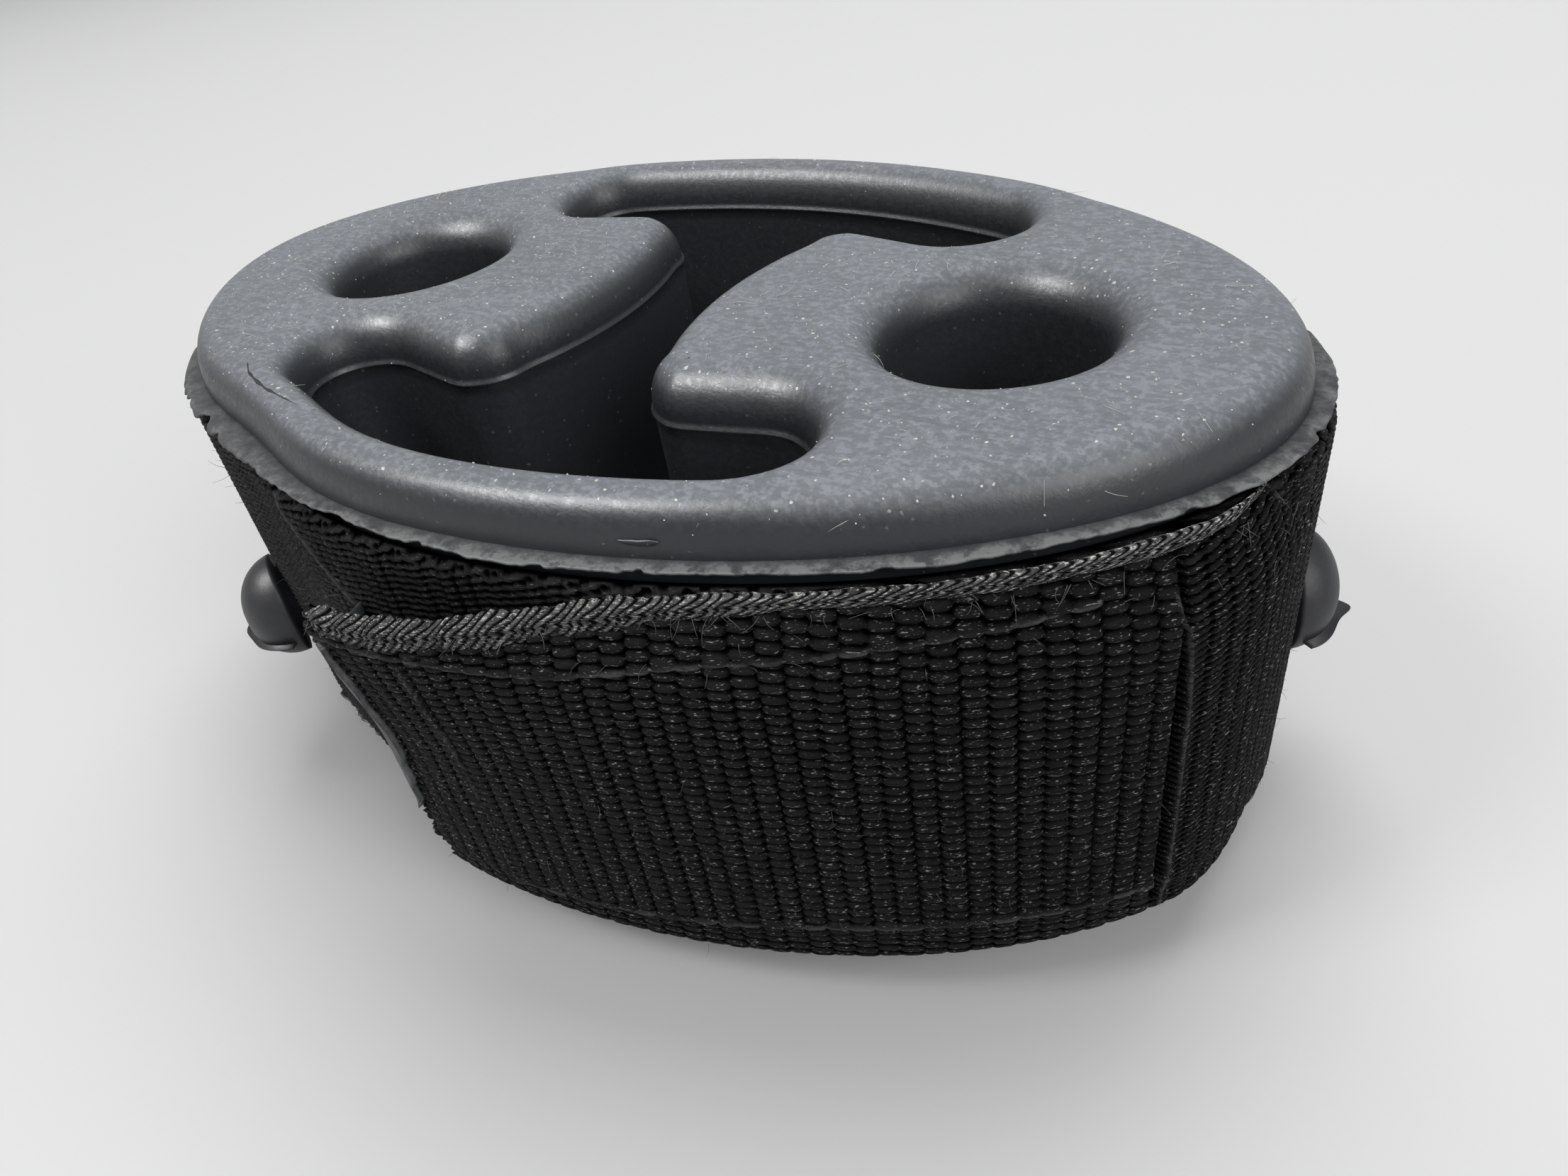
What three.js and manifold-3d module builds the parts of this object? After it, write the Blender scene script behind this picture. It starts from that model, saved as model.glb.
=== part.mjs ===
// Exhaust hanger rubber: an oval block of moulded rubber that carries an exhaust pipe under a
// car. One bore takes the rod on the body, the other the rod on the exhaust. A void between
// them lets the two ends move, and its two lobes are the bump stops. Woven webbing is wound
// round the side and bonded on, so that a split rubber still holds the pipe.
// Millimetres, +Z up, standing on one face, with both bores along X. The shapes are drawn
// about the middle between the bores. The finished part is then moved so that its origin is
// under the middle of the whole, plugs and webbing included.

import * as THREE from 'three';
import { mergeVertices } from 'three/addons/utils/BufferGeometryUtils.js';
import Module from 'manifold-3d';

// The oval block
const bodyLength = 75.4;
const bodyWidth = 47.9;
const ovalPower = 1.9; // 2 is a true ellipse, and less than 2 draws in its corners
const rimHeight = 3; // rubber standing above and below the webbing
const rimReach = 2.4; // how far the rounded rim runs in over the face
const partingFilm = 0.35; // thickness of the torn film of rubber at each parting line
const filmReach = 1.6; // how far that film lies out over the webbing's edge

// The two bores
const boreDiameter = 12;
const boreSpacing = 44;
const boreLipReach = 2.8; // rounded lead-in at each mouth, across the face
const lipDepth = 2.6; // and down the hole, for the void too

// The void between the bores
const wallThickness = 3.8; // thin outer wall beside each slot
const slotHalfLength = 18; // from the middle to the end of a slot
const slotInnerEdge = 10; // from the middle line to the near edge of a slot
const lobeGap = 7.6; // between the two lobes at their closest
const lobeNoseRadius = 21.3; // crown of a lobe's end face
const lobeCornerRadius = 3.3;
const lobeCornerRise = 1; // how far a lobe's corner swells into the slot
const voidLipReach = 2.3; // rounded edge of the void, across the face
const partingBead = 0.2; // fine raised line where the mould halves met in the void

// The webbing band
const webbingWidth = 24.4;
const firstThickness = 0.95; // the first turn was pressed thin in the mould
const secondThickness = 2.1; // the second turn kept its thick yarns
const ribPitch = 1.8; // one column of the weave
const ribHeight = 0.3;
const seatGap = 0.3; // between the rubber's side and the webbing
const selvedge = 1.1; // thickened woven edge
const plyStart = 1; // the second turn starts this far round the front from the right end
const plyLength = 51.2; // and is this long
const plyClimb = 9.6; // over this run it climbs onto the first turn
const peelDrop = 3; // how far its upper edge has slid down at the cut end
const peelLift = 1.3; // how far that corner stands off the turn below
const slideStart = 0.42; // share of the second turn where its upper edge starts to slide
const liftStart = 0.6; // and where it starts to stand off
const liftFoot = 0.45; // share of its height below which it stays bonded

// The two rubber plugs that were pressed out through holes in the webbing
const plugHoleDiameter = 6;
const plugHeadHeight = 8.2;
const plugHeadWidth = 7.4;
const plugStandOff = 3.2; // how far the head stands out from the webbing
const plugFilmReach = 1; // pointed film at the head's parting line
const plugMiddle = 12.1; // height of their middles
const plugPlaces = [18.5, 227]; // degrees round the oval

// The thin wall at the front left has taken a set inward
const dentDepth = 1.2;
const dentPlace = new THREE.Vector2(-16, -20);
const dentAlong = 8;
const dentAcross = 7;

// How finely curves are drawn
const bodySteps = 108;
const boreSteps = 28;
const edgeSteps = 4;
const denseSteps = 1440;

const bandGap = 0.3; // between the parting film and the webbing's edges
const bodyHeight = 2 * (rimHeight + partingFilm + bandGap) + webbingWidth;
const lowerParting = rimHeight;
const upperParting = bodyHeight - rimHeight;
const bandBottom = rimHeight + partingFilm + bandGap;

const wasm = await Module();
wasm.setup();

// The oval

// A point of the oval and the direction square to its edge there.
function ovalAt(angle) {
  const halfLength = bodyLength / 2;
  const halfWidth = bodyWidth / 2;
  const along = Math.cos(angle);
  const across = Math.sin(angle);
  const x = halfLength * Math.sign(along) * Math.abs(along) ** (2 / ovalPower);
  const y = halfWidth * Math.sign(across) * Math.abs(across) ** (2 / ovalPower);
  const normal = new THREE.Vector2(
    (Math.sign(x) * Math.abs(x / halfLength) ** (ovalPower - 1)) / halfLength,
    (Math.sign(y) * Math.abs(y / halfWidth) ** (ovalPower - 1)) / halfWidth,
  ).normalize();
  return { angle, point: new THREE.Vector2(x, y), normal };
}

const denseOval = Array.from({ length: denseSteps }, (_, i) => ovalAt((2 * Math.PI * i) / denseSteps));
const ovalDistance = [0];
for (let i = 0; i < denseSteps; i++) {
  const step = denseOval[i].point.distanceTo(denseOval[(i + 1) % denseSteps].point);
  ovalDistance.push(ovalDistance[i] + step);
}
const perimeter = ovalDistance[denseSteps];

// The place on the oval at a distance round it from its right end, counter-clockwise.
function ovalStation(distance) {
  const wrapped = ((distance % perimeter) + perimeter) % perimeter;
  let i = 0;
  while (ovalDistance[i + 1] < wrapped) i++;
  const share = (wrapped - ovalDistance[i]) / (ovalDistance[i + 1] - ovalDistance[i]);
  return ovalAt((2 * Math.PI * (i + share)) / denseSteps);
}

// The place on the oval's edge that is nearest to a point, and how far it is.
function nearestOnOval(point) {
  let best = denseOval[0];
  for (const place of denseOval) {
    if (place.point.distanceToSquared(point) < best.point.distanceToSquared(point)) best = place;
  }
  return { ...best, distance: best.point.distanceTo(point) };
}

// The set in the front left wall moves a point inward, less the further it is from the wall.
const dentDirection = nearestOnOval(dentPlace).normal.clone().negate();
function takeSet(x, y) {
  const offset = new THREE.Vector2(x, y).sub(dentPlace);
  const across = offset.dot(dentDirection) / dentAcross;
  const along = offset.cross(dentDirection) / dentAlong;
  const move = dentDepth * Math.exp(-(across ** 2) - along ** 2);
  return new THREE.Vector2(x + dentDirection.x * move, y + dentDirection.y * move);
}

// Solids from rings of points

// Triangles between rings of equal length, each ring closed on itself.
function joinRings(rings, closed = false) {
  const triangles = [];
  const last = closed ? rings.length : rings.length - 1;
  for (let r = 0; r < last; r++) {
    const here = rings[r];
    const next = rings[(r + 1) % rings.length];
    for (let i = 0; i < here.length; i++) {
      const j = (i + 1) % here.length;
      triangles.push([here[i], here[j], next[j]], [here[i], next[j], next[i]]);
    }
  }
  return triangles;
}

// Triangles of a flat face with holes, at one height.
function flatFace(outline, holes) {
  const flat = (ring) => ring.map((p) => new THREE.Vector2(p.x, p.y));
  const points = [outline, ...holes].flat();
  return THREE.ShapeUtils.triangulateShape(flat(outline), holes.map(flat)).map((face) =>
    face.map((index) => points[index]),
  );
}

function toManifold(geometry) {
  const bare = geometry.clone();
  bare.deleteAttribute('normal');
  bare.deleteAttribute('uv');
  const merged = mergeVertices(bare, 1e-5);
  const mesh = new wasm.Mesh({
    numProp: 3,
    vertProperties: new Float32Array(merged.attributes.position.array),
    triVerts: new Uint32Array(merged.index.array),
  });
  return new wasm.Manifold(mesh);
}

// A solid from triangles, turned so that its faces point out.
function solidFrom(triangles) {
  let volume = 0;
  for (const [a, b, c] of triangles) volume += a.dot(new THREE.Vector3().crossVectors(b, c));
  const outward = volume > 0 ? triangles : triangles.map(([a, b, c]) => [a, c, b]);
  const geometry = new THREE.BufferGeometry();
  geometry.setFromPoints(outward.flat());
  return toManifold(geometry);
}

function toGeometry(solid) {
  const mesh = solid.getMesh();
  const geometry = new THREE.BufferGeometry();
  geometry.setAttribute('position', new THREE.BufferAttribute(mesh.vertProperties, 3));
  geometry.setIndex(new THREE.BufferAttribute(mesh.triVerts, 1));
  geometry.computeVertexNormals();
  return geometry;
}

// The void between the bores, seen from above

// A slot's round end: it grows until it meets the line of the thin wall.
function slotEnd() {
  let small = 0;
  let large = slotHalfLength;
  while (large - small > 1e-6) {
    const radius = (small + large) / 2;
    const centre = new THREE.Vector2(slotHalfLength - radius, slotInnerEdge + radius);
    const room = nearestOnOval(centre).distance - wallThickness;
    if (room > radius) small = radius;
    else large = radius;
  }
  const centre = new THREE.Vector2(slotHalfLength - small, slotInnerEdge + small);
  return { radius: small, centre, meets: nearestOnOval(centre) };
}

// One quarter of the void, from the lobe's nose to the middle of the thin wall.
const noseShares = [0, 0.35, 0.7]; // of the way up the nose
const cornerTurns = [180, 157, 135, 112, 90]; // degrees round the lobe's corner
function voidQuarter() {
  const end = slotEnd();
  const noseX = (y) => lobeGap / 2 + y ** 2 / (2 * lobeNoseRadius);
  const edgeY = slotInnerEdge + lobeCornerRise;
  const cornerY = edgeY - lobeCornerRadius;
  const cornerX = noseX(cornerY) + lobeCornerRadius;
  const points = [];
  for (const share of noseShares) points.push(new THREE.Vector2(noseX(share * cornerY), share * cornerY));
  for (const turn of cornerTurns) {
    const angle = THREE.MathUtils.degToRad(turn);
    const x = cornerX + lobeCornerRadius * Math.cos(angle);
    points.push(new THREE.Vector2(x, cornerY + lobeCornerRadius * Math.sin(angle)));
  }
  const dipX = (cornerX + end.centre.x) / 2;
  points.push(new THREE.Vector2(dipX, (edgeY + slotInnerEdge) / 2));
  const sweep = end.meets.normal.angle() + Math.PI / 2;
  for (let i = 0; i <= 6; i++) {
    const angle = -Math.PI / 2 + (sweep * i) / 6;
    const x = end.centre.x + end.radius * Math.cos(angle);
    points.push(new THREE.Vector2(x, end.centre.y + end.radius * Math.sin(angle)));
  }
  for (const share of [0.25, 0.5, 0.75, 1]) {
    const place = ovalAt(THREE.MathUtils.lerp(end.meets.angle, Math.PI / 2, share));
    points.push(place.point.clone().addScaledVector(place.normal, -wallThickness));
  }
  return points;
}

// The whole outline: the quarter, mirrored twice. Points on the mirror lines are kept once.
function voidOutline() {
  const quarter = voidQuarter();
  const mirrored = (sx, sy) => quarter.map((p) => new THREE.Vector2(p.x * sx, p.y * sy));
  return [
    ...mirrored(1, 1),
    ...mirrored(-1, 1).reverse().slice(1),
    ...mirrored(-1, -1).slice(1),
    ...mirrored(1, -1).reverse().slice(1, -1),
  ];
}

function boreOutline(side) {
  return Array.from({ length: boreSteps }, (_, i) => {
    const angle = (2 * Math.PI * i) / boreSteps;
    const x = (side * boreSpacing) / 2 + (boreDiameter / 2) * Math.cos(angle);
    return new THREE.Vector2(x, (boreDiameter / 2) * Math.sin(angle));
  });
}

// Each point of an outline with the direction square to it, out of the hole.
function withNormals(outline) {
  return outline.map((point, i) => {
    const before = outline.at(i - 1);
    const after = outline[(i + 1) % outline.length];
    const tangent = new THREE.Vector2().subVectors(after, before).normalize();
    return { point, normal: new THREE.Vector2(tangent.y, -tangent.x) };
  });
}

const bodyOval = Array.from({ length: bodySteps }, (_, i) => ovalStation((perimeter * i) / bodySteps));
const bores = [boreOutline(-1), boreOutline(1)].map(withNormals);
const middleVoid = withNormals(voidOutline());
const holes = [...bores, middleVoid];

// A rounded edge takes no more than its share of the rubber between it and the next edge.
const edgeShare = 0.46;
const cornerShare = 0.7; // and no more than this share of a corner's radius
function reachAt(place, own, wanted) {
  const others = [bodyOval, ...holes].filter((outline) => outline !== own);
  const room = Math.min(...others.flat().map((other) => other.point.distanceTo(place.point)));
  return Math.min(wanted, edgeShare * room);
}

// A ring of an outline moved by a distance out of its hole, at one height, with the set.
function ringAt(outline, moved, height) {
  return outline.map((place, i) => {
    const distance = typeof moved === 'function' ? moved(i) : moved;
    const p = place.point.clone().addScaledVector(place.normal, distance);
    const settled = takeSet(p.x, p.y);
    return new THREE.Vector3(settled.x, settled.y, height);
  });
}

// The rubber body

// The parting film is torn, so its reach wanders round the oval.
function filmAt(i, phase) {
  const angle = (2 * Math.PI * i) / bodySteps;
  const wander = Math.sin(5 * angle + phase) + 0.7 * Math.sin(13 * angle + 2 * phase);
  return filmReach * (0.75 + 0.22 * wander);
}

// The side of the block from its upper face to its lower one.
function sideRings() {
  const reach = bodyOval.map((place) => reachAt(place, bodyOval, rimReach));
  const rounded = (height, direction) =>
    Array.from({ length: edgeSteps + 1 }, (_, step) => {
      const turn = (Math.PI / 2) * (1 - step / edgeSteps);
      const z = height + direction * rimHeight * Math.sin(turn);
      return ringAt(bodyOval, (i) => -reach[i] * (1 - Math.cos(turn)), z);
    });
  const film = (z, phase) => ringAt(bodyOval, (i) => filmAt(i, phase), z);
  return [
    ...rounded(upperParting, 1),
    film(upperParting, 1),
    film(upperParting - partingFilm, 1),
    ringAt(bodyOval, 0, upperParting - partingFilm),
    ringAt(bodyOval, 0, lowerParting + partingFilm),
    film(lowerParting + partingFilm, 3),
    film(lowerParting, 3),
    ...rounded(lowerParting, -1).reverse(),
  ];
}

// The wall of a hole from the upper face to the lower one.
function holeRings(outline) {
  const beaded = outline === middleVoid;
  const wanted = beaded ? Math.min(voidLipReach, cornerShare * lobeCornerRadius) : boreLipReach;
  const reach = outline.map((place) => reachAt(place, outline, wanted));
  const lip = (height, direction) =>
    Array.from({ length: edgeSteps + 1 }, (_, step) => {
      const turn = (Math.PI / 2) * (1 - step / edgeSteps);
      const z = height - direction * lipDepth * (1 - Math.sin(turn));
      return ringAt(outline, (i) => reach[i] * (1 - Math.cos(turn)), z);
    });
  const bead = [
    ringAt(outline, 0, upperParting + partingBead),
    ringAt(outline, -partingBead, upperParting),
    ringAt(outline, 0, upperParting - partingBead),
  ];
  return [...lip(bodyHeight, 1), ...(beaded ? bead : []), ...lip(0, -1).reverse()];
}

function buildBlock() {
  const side = sideRings();
  const walls = holes.map(holeRings);
  const triangles = [
    ...joinRings(side),
    ...walls.flatMap((rings) => joinRings(rings).map(([a, b, c]) => [a, c, b])),
    ...flatFace(side[0], walls.map((rings) => rings[0])).map(([a, b, c]) => [a, c, b]),
    ...flatFace(side.at(-1), walls.map((rings) => rings.at(-1))),
  ];
  return solidFrom(triangles);
}

// A piece turned and moved to a plug's place: its +Y points out of the webbing there.
function placePlug(geometry, degrees) {
  const place = ovalAt(THREE.MathUtils.degToRad(degrees));
  const settled = takeSet(place.point.x, place.point.y);
  geometry.rotateZ(place.normal.angle() - Math.PI / 2);
  geometry.translate(settled.x, settled.y, plugMiddle);
  return toManifold(geometry);
}

// One plug: a neck through the hole in the webbing, and a domed head with its own torn film.
function buildPlug(degrees) {
  const seat = seatGap + firstThickness + seatGap;
  const neckRadius = plugHoleDiameter / 2 - seatGap;
  const profile = [
    new THREE.Vector2(0, -wallThickness / 2),
    new THREE.Vector2(neckRadius, -wallThickness / 2),
    new THREE.Vector2(neckRadius, seat),
  ];
  for (let i = 0; i <= edgeSteps + 1; i++) {
    const turn = ((Math.PI / 2) * i) / (edgeSteps + 1);
    const radius = (plugHeadWidth / 2) * Math.cos(turn);
    profile.push(new THREE.Vector2(i > edgeSteps ? 0 : radius, seat + plugStandOff * Math.sin(turn)));
  }
  const dome = new THREE.LatheGeometry(profile, 20);
  dome.scale(1, 1, plugHeadHeight / plugHeadWidth);
  const film = new THREE.Shape();
  film.moveTo(-plugHeadWidth / 2, seat);
  film.lineTo(plugHeadWidth / 2, seat);
  film.quadraticCurveTo(plugHeadWidth / 2, seat + plugStandOff, 0, seat + plugStandOff + plugFilmReach);
  film.quadraticCurveTo(-plugHeadWidth / 2, seat + plugStandOff, -plugHeadWidth / 2, seat);
  const sheet = new THREE.ExtrudeGeometry(film, { depth: partingFilm, bevelEnabled: false, curveSegments: 5 });
  sheet.translate(0, 0, -plugHeadHeight / 5);
  return placePlug(dome, degrees).add(placePlug(sheet, degrees));
}

function buildRubberBody() {
  return plugPlaces.reduce((body, degrees) => body.add(buildPlug(degrees)), buildBlock());
}

// The webbing band

const ribCount = Math.round(perimeter / ribPitch);
const ribStep = perimeter / ribCount / 2;
const innerFace = seatGap;
const outerFace = seatGap + firstThickness;

// A point of the band: so far round the oval, so far out from it, so high on the webbing.
function bandPoint(distance, out, height) {
  const place = ovalStation(distance);
  const p = place.point.addScaledVector(place.normal, out);
  const settled = takeSet(p.x, p.y);
  return new THREE.Vector3(settled.x, settled.y, bandBottom + height);
}

// The first turn: its outer face is ribbed by the columns of the weave.
function buildFirstTurn() {
  const sections = Array.from({ length: 2 * ribCount }, (_, i) => {
    const distance = i * ribStep;
    const crest = outerFace - (i % 2) * ribHeight;
    return [
      bandPoint(distance, innerFace, 0),
      bandPoint(distance, crest - ribHeight, 0),
      bandPoint(distance, crest, selvedge),
      bandPoint(distance, crest, webbingWidth - selvedge),
      bandPoint(distance, crest - ribHeight, webbingWidth),
      bandPoint(distance, innerFace, webbingWidth),
    ];
  });
  return solidFrom(joinRings(sections, true));
}

// The second turn climbs onto the first and lies on it. Towards its cut end the upper edge has slid down and
// the corner stands off, so that a pocket opens below it.
function buildSecondTurn() {
  const stations = Math.round(plyLength / ribStep);
  const bury = 1.5 * ribHeight;
  const ease = (value, from) => THREE.MathUtils.smoothstep(value, from, 1);
  const sections = Array.from({ length: stations + 1 }, (_, i) => {
    const along = i / stations;
    const distance = -plyStart - i * ribStep;
    const height = webbingWidth - peelDrop * ease(along, slideStart);
    const lift = (share) => peelLift * ease(along, liftStart) * ease(share, liftFoot);
    const climb = secondThickness * THREE.MathUtils.smoothstep(i * ribStep, 0, plyClimb);
    const crest = outerFace + climb - (i % 2) * ribHeight;
    const outer = [0, selvedge / webbingWidth, 0.5, 0.8, 1 - selvedge / webbingWidth, 1];
    const outerEdge = outer.map((share, k) => {
      const rounded = k === 0 || k === outer.length - 1 ? ribHeight : 0;
      return bandPoint(distance, crest - rounded + lift(share), share * height);
    });
    const innerEdge = [1, 0.8, 0.5, 0].map((share) =>
      bandPoint(distance, outerFace - bury + lift(share), share * height),
    );
    return [...outerEdge, ...innerEdge];
  });
  const cap = (ring) => THREE.ShapeUtils.triangulateShape(endOutline(ring), []).map((face) =>
    face.map((index) => ring[index]),
  );
  const triangles = [
    ...joinRings(sections),
    ...cap(sections[0]).map(([a, b, c]) => [a, c, b]),
    ...cap(sections.at(-1)),
  ];
  return solidFrom(triangles);
}

// The outline of a cut end in its own plane: distance out from the oval, and height.
function endOutline(ring) {
  const origin = ring[0];
  const across = new THREE.Vector2(ring[2].x - ring.at(-1).x, ring[2].y - ring.at(-1).y).normalize();
  return ring.map(
    (p) => new THREE.Vector2((p.x - origin.x) * across.x + (p.y - origin.y) * across.y, p.z),
  );
}

function buildWebbingBand() {
  const holeDepth = 2 * (firstThickness + secondThickness);
  const holesCut = plugPlaces.map((degrees) => {
    const cutter = new THREE.CylinderGeometry(plugHoleDiameter / 2, plugHoleDiameter / 2, 2 * holeDepth, 20);
    cutter.scale(1, 1, plugHeadHeight / plugHeadWidth);
    return placePlug(cutter, degrees);
  });
  const band = buildFirstTurn().add(buildSecondTurn());
  return holesCut.reduce((left, cutter) => left.subtract(cutter), band);
}

// The finished part

const rubber = new THREE.MeshStandardMaterial({ color: 0x5d6068, roughness: 0.55, metalness: 0 });
const webbing = new THREE.MeshStandardMaterial({ color: 0x1d1d1f, roughness: 0.9, metalness: 0 });

function namedMesh(name, solid, material) {
  const mesh = new THREE.Mesh(toGeometry(solid), material);
  mesh.name = name;
  return mesh;
}

const hanger = new THREE.Group();
hanger.add(namedMesh('rubber_body', buildRubberBody(), rubber));
hanger.add(namedMesh('webbing_band', buildWebbingBand(), webbing));

const whole = new THREE.Box3().setFromObject(hanger).getCenter(new THREE.Vector3());
hanger.position.set(-whole.x, -whole.y, 0);

export default hanger;
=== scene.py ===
import math

import bmesh
import bpy
import numpy as np
from mathutils import Matrix, Vector
from mathutils.bvhtree import BVHTree
from mathutils.geometry import delaunay_2d_cdt


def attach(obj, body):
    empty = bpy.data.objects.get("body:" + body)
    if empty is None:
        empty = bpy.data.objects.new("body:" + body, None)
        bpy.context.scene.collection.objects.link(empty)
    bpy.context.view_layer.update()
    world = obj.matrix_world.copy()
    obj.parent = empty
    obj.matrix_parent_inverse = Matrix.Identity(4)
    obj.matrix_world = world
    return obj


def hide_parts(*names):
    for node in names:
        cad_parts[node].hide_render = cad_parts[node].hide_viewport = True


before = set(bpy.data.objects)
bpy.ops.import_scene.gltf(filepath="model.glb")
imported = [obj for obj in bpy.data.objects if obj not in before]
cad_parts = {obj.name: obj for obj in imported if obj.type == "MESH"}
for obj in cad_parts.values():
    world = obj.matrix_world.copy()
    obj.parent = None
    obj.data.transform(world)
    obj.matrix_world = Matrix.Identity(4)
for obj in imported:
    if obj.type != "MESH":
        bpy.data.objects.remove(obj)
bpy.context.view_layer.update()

# The camera is held by hand a few centimetres from the hanger, above its front right side,
# and turned a little about its own axis. Its lens is the wide one of a telephone.
camera_place = Vector((0.04161, -0.048402, 0.056289))
camera_aim = Vector((0.001366, 0.005674, 0.0047))
camera_roll = -0.166
camera_lens = 24.738
nearest_seen = 0.002

scene = bpy.context.scene
forward = (camera_aim - camera_place).normalized()
level_right = forward.cross(Vector((0, 0, 1))).normalized()
level_up = level_right.cross(forward)
picture_right = level_right * math.cos(camera_roll) + level_up * math.sin(camera_roll)
picture_up = level_up * math.cos(camera_roll) - level_right * math.sin(camera_roll)
camera_data = bpy.data.cameras.new("camera")
camera_data.lens = camera_lens
camera_data.clip_start = nearest_seen
camera = bpy.data.objects.new("camera", camera_data)
held = Matrix((picture_right, picture_up, -forward)).transposed().to_4x4()
camera.matrix_world = Matrix.Translation(camera_place) @ held
scene.collection.objects.link(camera)
scene.camera = camera

# The hanger stands on a pale board in a light tent, whose white cloth fills in the shadows.
# Big soft lamps shine from behind and from the right, and a small one from the left. A
# window shows only as a sheen on the rubber.
table_half = 1.5
table_colour = (0.51, 0.515, 0.51, 1)
tent_colour = (0.93, 0.94, 0.95, 1)
tent_strength = 0.44
lamp_aim = Vector((0, 0, 0.02))

scene.view_settings.view_transform = "Standard"
table_mesh = bpy.data.meshes.new("table")
table_signs = ((-1, -1), (1, -1), (1, 1), (-1, 1))
table_corners = [(x * table_half, y * table_half, 0) for x, y in table_signs]
table_mesh.from_pydata(table_corners, [], [(0, 1, 2, 3)])
table = bpy.data.objects.new("table", table_mesh)
scene.collection.objects.link(table)


def new_material(name, colour=None, roughness=0.5):
    """A material with its node tree and main shader, of one colour unless it gets more."""
    material = bpy.data.materials.new(name)
    material.use_nodes = True
    shader = material.node_tree.nodes["Principled BSDF"]
    if colour is not None:
        shader.inputs["Base Color"].default_value = colour
    shader.inputs["Roughness"].default_value = roughness
    return material, material.node_tree, shader


board, _, board_shader = new_material("pale board", table_colour)
board_shader.inputs["Specular IOR Level"].default_value = 0.3
table_mesh.materials.append(board)

tent = bpy.data.worlds.new("light tent")
tent.use_nodes = True
tent.node_tree.nodes["Background"].inputs["Color"].default_value = tent_colour
tent.node_tree.nodes["Background"].inputs["Strength"].default_value = tent_strength
scene.world = tent


def soft_lamp(name, place, size, power, lights=True, shines=True):
    """A square soft lamp that faces the hanger. It lights it, shines in it, or does both."""
    data = bpy.data.lights.new(name, "AREA")
    data.size = size
    data.energy = power
    lamp = bpy.data.objects.new(name, data)
    lamp.location = place
    lamp.rotation_euler = (lamp_aim - Vector(place)).to_track_quat("-Z", "Y").to_euler()
    lamp.visible_diffuse = lights
    lamp.visible_glossy = shines
    scene.collection.objects.link(lamp)


soft_lamp("left lamp", place=(-0.42, -0.44, 0.8), size=0.24, power=2.5)
soft_lamp("back lamp", place=(-0.1, 0.45, 1.0), size=0.8, power=10.0, shines=False)
soft_lamp("right lamp", place=(1.0, -0.3, 0.75), size=0.8, power=10.0)
soft_lamp("window", place=(-0.4, -0.45, 0.8), size=0.42, power=11.0, lights=False)

# One shot of black rubber fills an oval mould: the block, its two bores for the hanger rods,
# and the void whose two lobes are the bump stops. Every edge came rounded out of the mould.
# Handling left a grey dust on what faces up, and the thin front left wall has sagged inward.
# The dust thins away on slopes and walls, and this darkening is partly painted shade.
millimetre = 0.001
middle = np.array([-0.973129, 1.475451])  # between the bores, from the part's own middle
body_length, body_width, oval_power = 75.4, 47.9, 1.9
body_height = 31.7
rim_height, rim_reach, rim_power = 3.0, 2.4, 0.85
upper_parting, lower_parting = body_height - rim_height, rim_height
parting_rise, parting_half, parting_crest = 0.16, 0.16, 0.05
bore_radius, bore_spacing, bore_lip = 6.0, 44.0, 2.8
wall = 3.8
slot_half, slot_edge = 18.0, 10.0
lobe_gap, nose_radius = 7.6, 21.3
lobe_corner, lobe_rise = 3.3, 1.0
void_lip, lip_depth = 2.3, 2.6
lip_share = 0.46  # of the rubber between two edges, each edge's rounding takes no more
set_depth, set_along, set_across = 1.2, 8.0, 7.0
set_place = np.array([-16.0, -20.0])
body_count, bore_count, void_count = 560, 128, 440  # points round each outline
lip_smoothing = 6  # points to each side over which a rounding's reach is evened out
face_grid = 1.1


def signed_power(value, power):
    """A power of a value's size, with the value's own sign."""
    return np.sign(value) * np.abs(value) ** power


def oval(angles):
    """Points of the oval and the directions square to its edge there."""
    x = body_length / 2 * signed_power(np.cos(angles), 2 / oval_power)
    y = body_width / 2 * signed_power(np.sin(angles), 2 / oval_power)
    nx = signed_power(2 * x / body_length, oval_power - 1) / body_length
    ny = signed_power(2 * y / body_width, oval_power - 1) / body_width
    normals = np.stack([nx, ny], -1)
    return np.stack([x, y], -1), normals / np.linalg.norm(normals, axis=-1, keepdims=True)


def lengths_along(curve):
    """The distance from a curve's first point to each of its points."""
    return np.concatenate([[0], np.cumsum(np.linalg.norm(np.diff(curve, axis=0), axis=1))])


dense_angles = np.linspace(0, 2 * math.pi, 14401)
dense_points, dense_normals = oval(dense_angles)
dense_distance = lengths_along(dense_points)
perimeter = dense_distance[-1]


def station(distance):
    """The oval's points and normals at distances round it from its right end."""
    return oval(np.interp(np.asarray(distance) % perimeter, dense_distance, dense_angles))


def nearest_on_oval(point):
    """Which of the oval's dense points is nearest, and how far it is."""
    gaps = np.linalg.norm(dense_points - point, axis=1)
    best = int(gaps.argmin())
    return best, gaps[best]


set_normal = -dense_normals[nearest_on_oval(set_place)[0]]


def take_set(points):
    """Moves points inward where the thin wall has sagged, less the further from it."""
    offset = points[..., :2] - set_place
    across = offset @ set_normal / set_across
    along = (offset[..., 0] * set_normal[1] - offset[..., 1] * set_normal[0]) / set_along
    move = set_depth * np.exp(-(across**2) - along**2)
    moved = points.copy()
    moved[..., :2] += move[..., None] * set_normal
    return moved


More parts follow.
